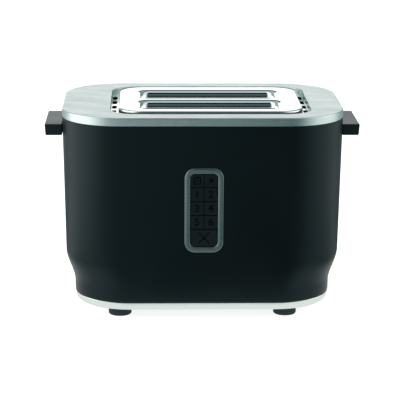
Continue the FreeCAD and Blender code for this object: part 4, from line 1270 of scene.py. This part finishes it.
# The keypad
@dataclass
class Keypad:
    """Bezel, carrier, nine keys and the board behind them. The set leans with the front face:
    x runs across, y up the face and depth into the body."""

    width: float = 37.0 * MM
    height: float = 82.6 * MM
    corner: float = 10.0 * MM
    band: float = 5.2 * MM
    proud: float = 0.7 * MM
    length: float = 4.7 * MM
    crown: float = 0.2 * MM
    crown_steps: int = 6
    edge_round: float = 0.8 * MM
    edge_steps: int = 5
    centre_z: float = 110.5 * MM
    names: tuple[str, ...] = ("slice", "snow", "1", "2", "3", "4", "5", "6")
    rows: int = 4
    pitch: float = 13.65 * MM
    gap: float = 0.6 * MM
    side_gap: float = 0.4 * MM
    sink: float = 0.5 * MM
    cap: float = 3.0 * MM
    cap_round: float = 0.45 * MM
    cap_steps: int = 4
    corner_steps: int = 8
    side_steps: int = 3
    digit_size: float = 10.0 * MM
    digit_bold: float = 0.12 * MM
    mark_depth: float = 0.25 * MM
    snow_reach: float = 2.8 * MM
    snow_turns: tuple[int, ...] = (90, 30, -30)
    slice_reach: float = 3.3 * MM
    slice_half: float = 0.85
    slice_shoulder: float = 0.2
    slice_line: Point = (-0.4, 0.5)
    lobe_place: Point = (0.55, 0.45)
    lobe_radius: float = 0.6
    lobe_steps: int = 4
    cross_reach: float = 5.2 * MM
    stroke: float = 0.5 * MM
    stroke_facets: int = 2

    def lean(self) -> Matrix:
        """Gives the matrix from the keypad's own plane to the front face."""
        place = Matrix.Translation((0.0, FORM.front(self.centre_z), self.centre_z))
        return place @ Matrix.Rotation(FORM.draft, 4, "X") @ Matrix.Rotation(math.pi / 2, 4, "X")

    def rings(self, outline: Outline, section: Sequence[Point]) -> list[list[Vector]]:
        """Gives an outline's rings along a section of inset and depth into the body, on the
        leaning face.

        Args:
            outline: The outline.
            section: Insets and depths.

        Returns:
            The rings, in order.
        """
        lean = self.lean()
        return [
            [lean @ Vector((x, y, -depth)) for x, y in outline.grown(-inset).points()]
            for inset, depth in section]

    def edge(self, radius: float, depth: float, steps: int) -> list[Point]:
        """Gives the rounded edge of a section of inset and depth, up to a face."""
        return [(inset, -level) for inset, level in shoulder(radius, -depth, steps)]

    def outline(self) -> Outline:
        """Gives the bezel's outline."""
        return Outline(self.width / 2, self.height / 2, self.corner)

    def window_cutter(self, fit: float, wall: float) -> Piece:
        """Makes the shape that opens the housing for the bezel."""
        rings = self.rings(self.outline().grown(fit), [(0.0, 2 * wall), (0.0, -wall)])
        return loft("keypad_window", rings, capped=True)

    def build_bezel(self) -> None:
        """Sweeps the bezel's crowned section round the keypad."""
        back = self.length - self.proud
        shoulder_depth = self.crown - self.proud
        rounded = self.edge(self.edge_round, shoulder_depth, self.edge_steps)
        section = [(0.0, back)] + rounded
        flat = self.band - 2 * self.edge_round
        for step in range(1, self.crown_steps):
            share = step / self.crown_steps
            rise = self.crown * math.sin(math.pi * share)
            section.append((self.edge_round + flat * share, shoulder_depth - rise))
        section += [(self.band - inset, depth) for inset, depth in reversed(rounded)]
        section.append((self.band, back))
        bezel = loft("keypad_frame", self.rings(self.outline(), section), closed=True)
        settle(bezel, "chassis", "keypad_bezel", BEZEL_STEEL)

    def key_outlines(self) -> list[tuple[str, Outline]]:
        """Gives each key's name and outline. Only the keypad's own corners are round.

        Returns:
            The names and outlines, row by row and the cross key last.
        """
        opening = self.outline().grown(-self.band)
        inner = opening.grown(-self.side_gap)
        near = self.gap / 2
        places = []
        for row in range(self.rows):
            high = min(opening.half_y - row * self.pitch - near, inner.half_y)
            low = opening.half_y - (row + 1) * self.pitch + near
            for column, side in enumerate((-1, 1)):
                round_corners = {(side, 1)} if row == 0 else set()
                middle = side * (near + inner.half_x) / 2
                name = self.names[2 * row + column]
                places.append((name, (inner.half_x - near) / 2, middle, low, high, round_corners))
        high = opening.half_y - self.rows * self.pitch - near
        places.append(("cross", inner.half_x, 0.0, -inner.half_y, high, {(-1, -1), (1, -1)}))
        return [
            (f"key_{name}", Outline(
                half, (high - low) / 2, inner.corner, middle, (high + low) / 2,
                frozenset(CORNERS) - round_corners, self.corner_steps, self.side_steps))
            for name, half, middle, low, high, round_corners in places]

    def strokes(self, lines: Sequence[Sequence[Point]], outline: Outline) -> Piece:
        """Makes round-ended strokes along lines drawn on a key's face, for engraving.

        Args:
            lines: The lines' points, from the middle of the key.
            outline: The key's outline.

        Returns:
            The strokes as a mesh.
        """
        curve = bpy.data.curves.new("key_strokes", "CURVE")
        curve.dimensions = "3D"
        curve.bevel_depth = self.stroke
        curve.bevel_resolution = self.stroke_facets
        curve.use_fill_caps = True
        lean = self.lean()
        for line in lines:
            spline = curve.splines.new("POLY")
            spline.points.add(len(line) - 1)
            for point, (x, y) in zip(spline.points, line):
                place = lean @ Vector((outline.centre_x + x, outline.centre_y + y, -self.sink))
                point.co = (*place, 1.0)
        return self.as_mesh(link("key_strokes", curve))

    def as_mesh(self, drawn: Piece) -> Piece:
        """Turns a curve or text object into a mesh object.

        Args:
            drawn: The curve or text object, which is used up.

        Returns:
            The mesh object.
        """
        mesh = worked_out(drawn)
        mesh.transform(drawn.matrix_world)
        bpy.data.objects.remove(drawn)
        return link("key_mark_shape", mesh)

    def digit(self, text: str, outline: Outline) -> Piece:
        """Makes a digit's shape in the middle of a key, for engraving.

        Args:
            text: The digit.
            outline: The key's outline.

        Returns:
            The digit as a mesh.
        """
        curve = bpy.data.curves.new("key_digit", "FONT")
        curve.body = text
        curve.size = self.digit_size
        curve.offset = self.digit_bold
        curve.extrude = self.mark_depth
        curve.align_x = "CENTER"
        curve.align_y = "CENTER"
        drawn = link("key_digit", curve)
        drawn.matrix_world = self.lean() @ Matrix.Translation(
            (outline.centre_x, outline.centre_y, -self.sink))
        return self.as_mesh(drawn)

    def slice_lines(self) -> list[list[Point]]:
        """Draws a slice of bread: its crust with two lobes at the top, and one line inside.

        Returns:
            The lines' points, from the middle of the key.
        """
        reach = self.slice_reach
        half = reach * self.slice_half
        side_height = reach * self.slice_shoulder
        lobe_x = half * self.lobe_place[0]
        lobe_y = reach * self.lobe_place[1]
        crust = [(-half, -reach), (half, -reach), (half, side_height)]
        crust += arc((lobe_x, lobe_y), half * self.lobe_radius, 0, 100, self.lobe_steps)
        crust += arc((-lobe_x, lobe_y), half * self.lobe_radius, 80, 180, self.lobe_steps)
        crust += [(-half, side_height), (-half, -reach)]
        return [crust, [(0.0, reach * share) for share in self.slice_line]]

    def mark(self, name: str, outline: Outline) -> Piece:
        """Makes the shape of a key's mark: a digit, a snowflake, a slice or a cross.

        Args:
            name: The key's name.
            outline: The key's outline.

        Returns:
            The shape.
        """
        if name == "key_cross":
            reach = self.cross_reach
            lines = [[(-reach, -reach), (reach, reach)], [(-reach, reach), (reach, -reach)]]
            return self.strokes(lines, outline)
        if name == "key_snow":
            lines = []
            for turn in self.snow_turns:
                x = self.snow_reach * math.cos(math.radians(turn))
                y = self.snow_reach * math.sin(math.radians(turn))
                lines.append([(-x, -y), (x, y)])
            return self.strokes(lines, outline)
        if name == "key_slice":
            return self.strokes(self.slice_lines(), outline)
        return self.digit(name.removeprefix("key_"), outline)

    def build_key(self, name: str, outline: Outline) -> None:
        """Builds one key's cap, with its mark engraved and darkened.

        Args:
            name: The key's name.
            outline: The key's outline.
        """
        section = [(0.0, self.sink + self.cap)]
        section += self.edge(self.cap_round, self.sink, self.cap_steps)
        key = smooth(loft(f"{name}_cap", self.rings(outline, section), capped=True))
        shape = self.mark(name, outline)
        for part, finish in ((key, KEY_BLACK), (shape, KEY_MARK)):
            part.data.materials.clear()
            part.data.materials.append(finish.material())
        settle(carve(key, [shape]), name, name, KEY_BLACK, KEY_MARK)

    def build(self) -> None:
        """Builds the bezel and the keys and dresses the solids behind them."""
        self.build_bezel()
        for name, outline in self.key_outlines():
            self.build_key(name, outline)
        dress_solids(CARRIER_BLACK, "keypad_carrier")
        dress_solids(CIRCUIT, "control_board")


# The lever carriage
@dataclass
class LeverGrip:
    """One bar-shaped grip on the end of the carriage."""

    side: Side
    lean: float = 0.9 * MM
    edge_round: float = 1.0 * MM
    edge_steps: int = 4

    def build(self) -> None:
        """Builds the bar from its section and rounds its edges."""
        node = f"grip_{self.side.name.lower()}"
        low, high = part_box(node)
        way = self.side.value
        near, far = (low.x, high.x) if way > 0 else (high.x, low.x)
        section = [(near, low.z), (far - way * self.lean, low.z), (far, high.z), (near, high.z)]
        rings = [[Vector((x, y, z)) for x, z in section] for y in (low.y, high.y)]
        bar = smooth(loft(f"{node}_bar", rings, capped=True))
        settle(soften(bar, self.edge_round, self.edge_steps), "carriage", node, GRIP_BLACK)


@dataclass
class LeverCarriage:
    """The carriage that lowers the bread: grips, brackets, racks and armature."""

    def build(self) -> None:
        """Builds both grips and dresses the other solids of the carriage."""
        for side in Side:
            LeverGrip(side).build()
        dress_solids(SHEET_STEEL, "carriage_bracket_left", "carriage_bracket_right")
        dress_solids(WIRE_STEEL, "bread_rack_front", "bread_rack_back")
        dress_solids(CORE_IRON, "armature")


# The inside
@dataclass
class ToastingCage:
    """End plates, reflectors, heater boards with their ribbons, and the bread guards."""

    rows: tuple[str, ...] = ("front", "back")

    def build(self) -> None:
        """Dresses every solid round the toasting chambers."""
        dress_solids(SHEET_STEEL, "end_plate_left", "end_plate_right")
        dress_solids(WIRE_STEEL, "guide_rod_left", "guide_rod_right")
        for row in (*self.rows, "middle"):
            dress_solids(MICA, f"heater_board_{row}")
            dress_solids(HEATER_ALLOY, f"heater_ribbon_{row}")
        for row in self.rows:
            dress_solids(REFLECTOR_SHEET, f"reflector_{row}")
            dress_solids(WIRE_STEEL, *(f"guard_{row}_slot_{face}" for face in self.rows))


@dataclass
class HoldAndPower:
    """Lift spring, holding magnet, power board and crumb tray."""

    def build(self) -> None:
        """Dresses the mechanism's solids."""
        dress_solids(SPRING_WIRE, "lift_spring")
        dress_solids(CORE_IRON, "magnet_core")
        dress_solids(COPPER, "magnet_coil")
        dress_solids(CIRCUIT, "power_board")
        dress_solids(TRAY_SHEET, "crumb_tray")


# The studio
@dataclass
class PhotoCamera:
    """The photograph's camera, which looks down a little and a touch to the right."""

    image_width: float = 400.0
    focal_pixels: float = 1726.5
    sensor: float = 36.0
    pitch: float = math.radians(13.717)
    yaw: float = 0.0303453
    roll: float = 0.00578292
    place: Vector = field(default_factory=lambda: Vector((-52.1, -1682.9, 508.8)) * MM)

    def build(self) -> None:
        """Makes the camera the scene's own."""
        forward = Vector((
            math.sin(self.yaw) * math.cos(self.pitch), math.cos(self.yaw) * math.cos(self.pitch),
            -math.sin(self.pitch)))
        right = forward.cross(Vector((0.0, 0.0, 1.0))).normalized()
        above = right.cross(forward)
        rolled_right = right * math.cos(self.roll) + above * math.sin(self.roll)
        rolled_above = above * math.cos(self.roll) - right * math.sin(self.roll)
        data = bpy.data.cameras.new("photo_camera")
        data.sensor_width = self.sensor
        data.lens = self.focal_pixels / self.image_width * self.sensor
        camera = link("photo_camera", data)
        turn = Matrix((rolled_right, rolled_above, -forward)).transposed()
        camera.matrix_world = Matrix.Translation(self.place) @ turn.to_4x4()
        bpy.context.scene.camera = camera


@dataclass(frozen=True)
class Softbox:
    """One rectangular lamp that faces the toaster. Its size is in metres, and its level is how
    bright its face looks, where 1 is white. The toaster's metal may mirror it or not."""

    name: str
    place: Triple
    size: Point
    level: float
    mirrored: bool = True

    def hang(self) -> None:
        """Puts the lamp in its place."""
        data = bpy.data.lights.new(self.name, "AREA")
        data.shape = "RECTANGLE"
        data.size, data.size_y = self.size
        data.energy = self.level * math.pi * self.size[0] * self.size[1]
        lamp = link(self.name, data)
        lamp.visible_glossy = self.mirrored
        place = Vector(self.place)
        target = Vector((0.0, 0.0, (CAD_LOW.z + CAD_HIGH.z) / 2))
        turn = (target - place).to_track_quat("-Z", "Y").to_matrix()
        lamp.matrix_world = Matrix.Translation(place) @ turn.to_4x4()


@dataclass
class Studio:
    """Pale floor, soft lamps and a white surround, none of it part of the toaster. Its arch runs
    from behind over the top to the front, and its aside and sides from the front to the back:
    each is stops of an angle in degrees and a level."""

    floor_half: float = 3.0
    floor_color: Color = (0.8, 0.8, 0.8)
    near_floor: float = 0.062
    far_floor: float = 0.072
    wall_floor: float = 0.45
    floor_share: float = 0.4
    near_glow: float = 0.78
    front_left: Point = (-0.14, 0.42)
    front_right: Point = (0.12, 0.13)
    side_reach: float = 0.1
    side_balance: Point = (1.0, 0.66)
    fill: float = 0.87
    arch: tuple[Point, ...] = (
        (0.0, 1.3), (15.0, 1.3), (20.0, 0.1), (53.0, 0.1), (60.0, 0.55), (98.0, 0.5), (102.0, 0.01),
        (125.0, 0.01), (131.0, 0.15), (144.0, 0.13), (149.0, 0.03), (170.0, 0.03), (176.0, 0.01),
        (180.0, 0.01))
    aside: tuple[Point, ...] = (
        (0.0, 0.0), (28.0, 0.0), (62.0, 1.0), (160.0, 1.0), (170.0, 0.0), (180.0, 0.0))
    sides: tuple[Point, ...] = (
        (0.0, 1.2), (105.0, 1.2), (126.0, 0.4), (155.0, 0.4), (168.0, 1.0), (180.0, 1.0))
    tints: tuple[tuple[float, Color], ...] = (
        (0.0, (0.5, 1.0, 1.15)), (0.1, (0.53, 1.0, 1.14)), (0.25, (0.72, 1.0, 1.02)),
        (0.5, (0.85, 1.0, 0.99)), (0.8, (0.95, 1.0, 0.99)), (1.0, WHITE))
    lamps: tuple[Softbox, ...] = (
        Softbox("lamp_left", (-1.6, 0.1, 0.6), (1.2, 1.0), 1.0),
        Softbox("lamp_right", (1.6, 0.1, 0.6), (1.2, 1.0), 0.8),
        Softbox("lamp_top", (0.0, 0.5, 1.7), (1.8, 0.7), 1.2, mirrored=False))

    def by_angle(self, wiring: Wiring, angle: Socket, stops: Sequence[Point]) -> Socket:
        """Reads a level from stops of angle, in degrees from 0 to 180, and level.

        Args:
            wiring: The wiring of the surround or of the floor.
            angle: The angle, in radians.
            stops: Each stop's angle and level, in order.

        Returns:
            The level.
        """
        share = wiring.math("DIVIDE", wiring.math("ABSOLUTE", angle), math.pi)
        return wiring.ramp(share, [(turn / 180.0, (level, level, level)) for turn, level in stops])

    def walls(self, wiring: Wiring, way: Outputs, middle: Socket) -> Socket:
        """Gives how bright the surround looks in the toaster's metal, one way from it.

        Args:
            wiring: The wiring of the surround or of the floor.
            way: The direction, or the place on the floor, split into X, Y and Z.
            middle: How bright it is straight in front and straight behind.

        Returns:
            The brightness, bright at both sides and dim at the slanting back.
        """
        azimuth = wiring.math("ARCTAN2", way["X"], wiring.math("MULTIPLY", way["Y"], -1.0))
        balance = wiring.spread(way["X"], -self.side_reach, self.side_reach, *self.side_balance)
        side = wiring.math("MULTIPLY", self.by_angle(wiring, azimuth, self.sides), balance)
        return wiring.blend(self.by_angle(wiring, azimuth, self.aside), middle, side, "FLOAT")

    def surround(self) -> None:
        """Makes the world: white to the camera, an arch of soft walls to everything else."""
        world = bpy.data.worlds.new("studio_surround")
        bpy.context.scene.world = world
        world.use_nodes = True
        world.node_tree.nodes.clear()
        wiring = Wiring(world.node_tree)
        way = wiring.split(wiring.add("TexCoord").outputs["Generated"])
        turn = wiring.math("ARCTAN2", way["Z"], way["Y"])
        level = self.walls(wiring, way, self.by_angle(wiring, turn, self.arch))
        seen = wiring.add("Background", {"Color": WHITE})
        lit = wiring.add("Background", {"Color": wiring.ramp(level, self.tints), "Strength": level})
        direct = wiring.add("LightPath").outputs["Is Camera Ray"]
        wiring.add("OutputWorld", {"Surface": wiring.choose(direct, lit.outputs[0], seen.outputs[0])})

    def mirrored_glow(self, wiring: Wiring) -> Socket:
        """Gives how bright the floor looks in the toaster's metal, by the place on the floor.

        Args:
            wiring: The floor's wiring.

        Returns:
            The brightness.
        """
        place = wiring.split(wiring.place())
        gaps = [
            wiring.math("SUBTRACT", wiring.math("ABSOLUTE", place[axis]), half)
            for axis, half in (("X", FORM.width / 2), ("Y", FORM.depth / 2))]
        beyond = wiring.math("MAXIMUM", *gaps)
        near = wiring.spread(beyond, self.near_floor, self.far_floor, self.near_glow, 0.0)
        (left, left_level), (right, right_level) = self.front_left, self.front_right
        middle = wiring.spread(place["X"], left, right, left_level, right_level)
        fade = wiring.spread(beyond, self.near_floor, self.wall_floor, self.floor_share, 1.0)
        return wiring.math(
            "MAXIMUM", near, wiring.math("MULTIPLY", self.walls(wiring, place, middle), fade))

    def floor(self) -> None:
        """Makes the floor: white with a soft shadow, bright near the toaster in its metal, and
        clear from below."""
        mesh = bpy.data.meshes.new("studio_floor")
        half = self.floor_half
        mesh.from_pydata([(half * sx, half * sy, 0.0) for sx, sy in CORNERS], [], [(0, 1, 2, 3)])
        floor = link("studio_floor", mesh)
        made = bpy.data.materials.new("floor_white")
        made.use_nodes = True
        nodes = made.node_tree.nodes
        wiring = Wiring(made.node_tree)
        plain = wiring.feed(nodes["Principled BSDF"], {
            "Base Color": self.floor_color, "Roughness": 1.0, "Specular IOR Level": 0.0})
        glow = wiring.add("Emission", {"Color": WHITE, "Strength": self.fill})
        lit = wiring.add("AddShader", {0: plain.outputs[0], 1: glow.outputs[0]})
        level = self.mirrored_glow(wiring)
        mirrored = wiring.add("Emission", {"Color": wiring.ramp(level, self.tints), "Strength": level})
        rays = wiring.add("LightPath").outputs
        bounced = wiring.math("MAXIMUM", rays["Is Glossy Ray"], rays["Is Transmission Ray"])
        shown = wiring.choose(bounced, lit.outputs[0], mirrored.outputs[0])
        below = wiring.add("NewGeometry").outputs["Backfacing"]
        sided = wiring.choose(below, shown, wiring.add("BsdfTransparent").outputs[0])
        wiring.feed(nodes["Material Output"], {"Surface": sided})
        floor.data.materials.append(made)

    def build(self) -> None:
        """Sets up the surround, the floor, the lamps and the camera."""
        for name in ("Cube", "Light", "Camera"):
            if name in bpy.data.objects:
                bpy.data.objects.remove(bpy.data.objects[name])
        self.surround()
        self.floor()
        for lamp in self.lamps:
            lamp.hang()
        PhotoCamera().build()
        bpy.context.scene.view_settings.view_transform = "Standard"


def main() -> None:
    """Builds every sub-assembly in order."""
    Studio().build()
    keypad = Keypad()
    OuterHousing().build(keypad)
    keypad.build()
    Underside().build()
    TopSet().build()
    LeverCarriage().build()
    ToastingCage().build()
    HoldAndPower().build()


if __name__ == "__main__":
    logging.basicConfig(level=logging.INFO, format="%(message)s")
    main()
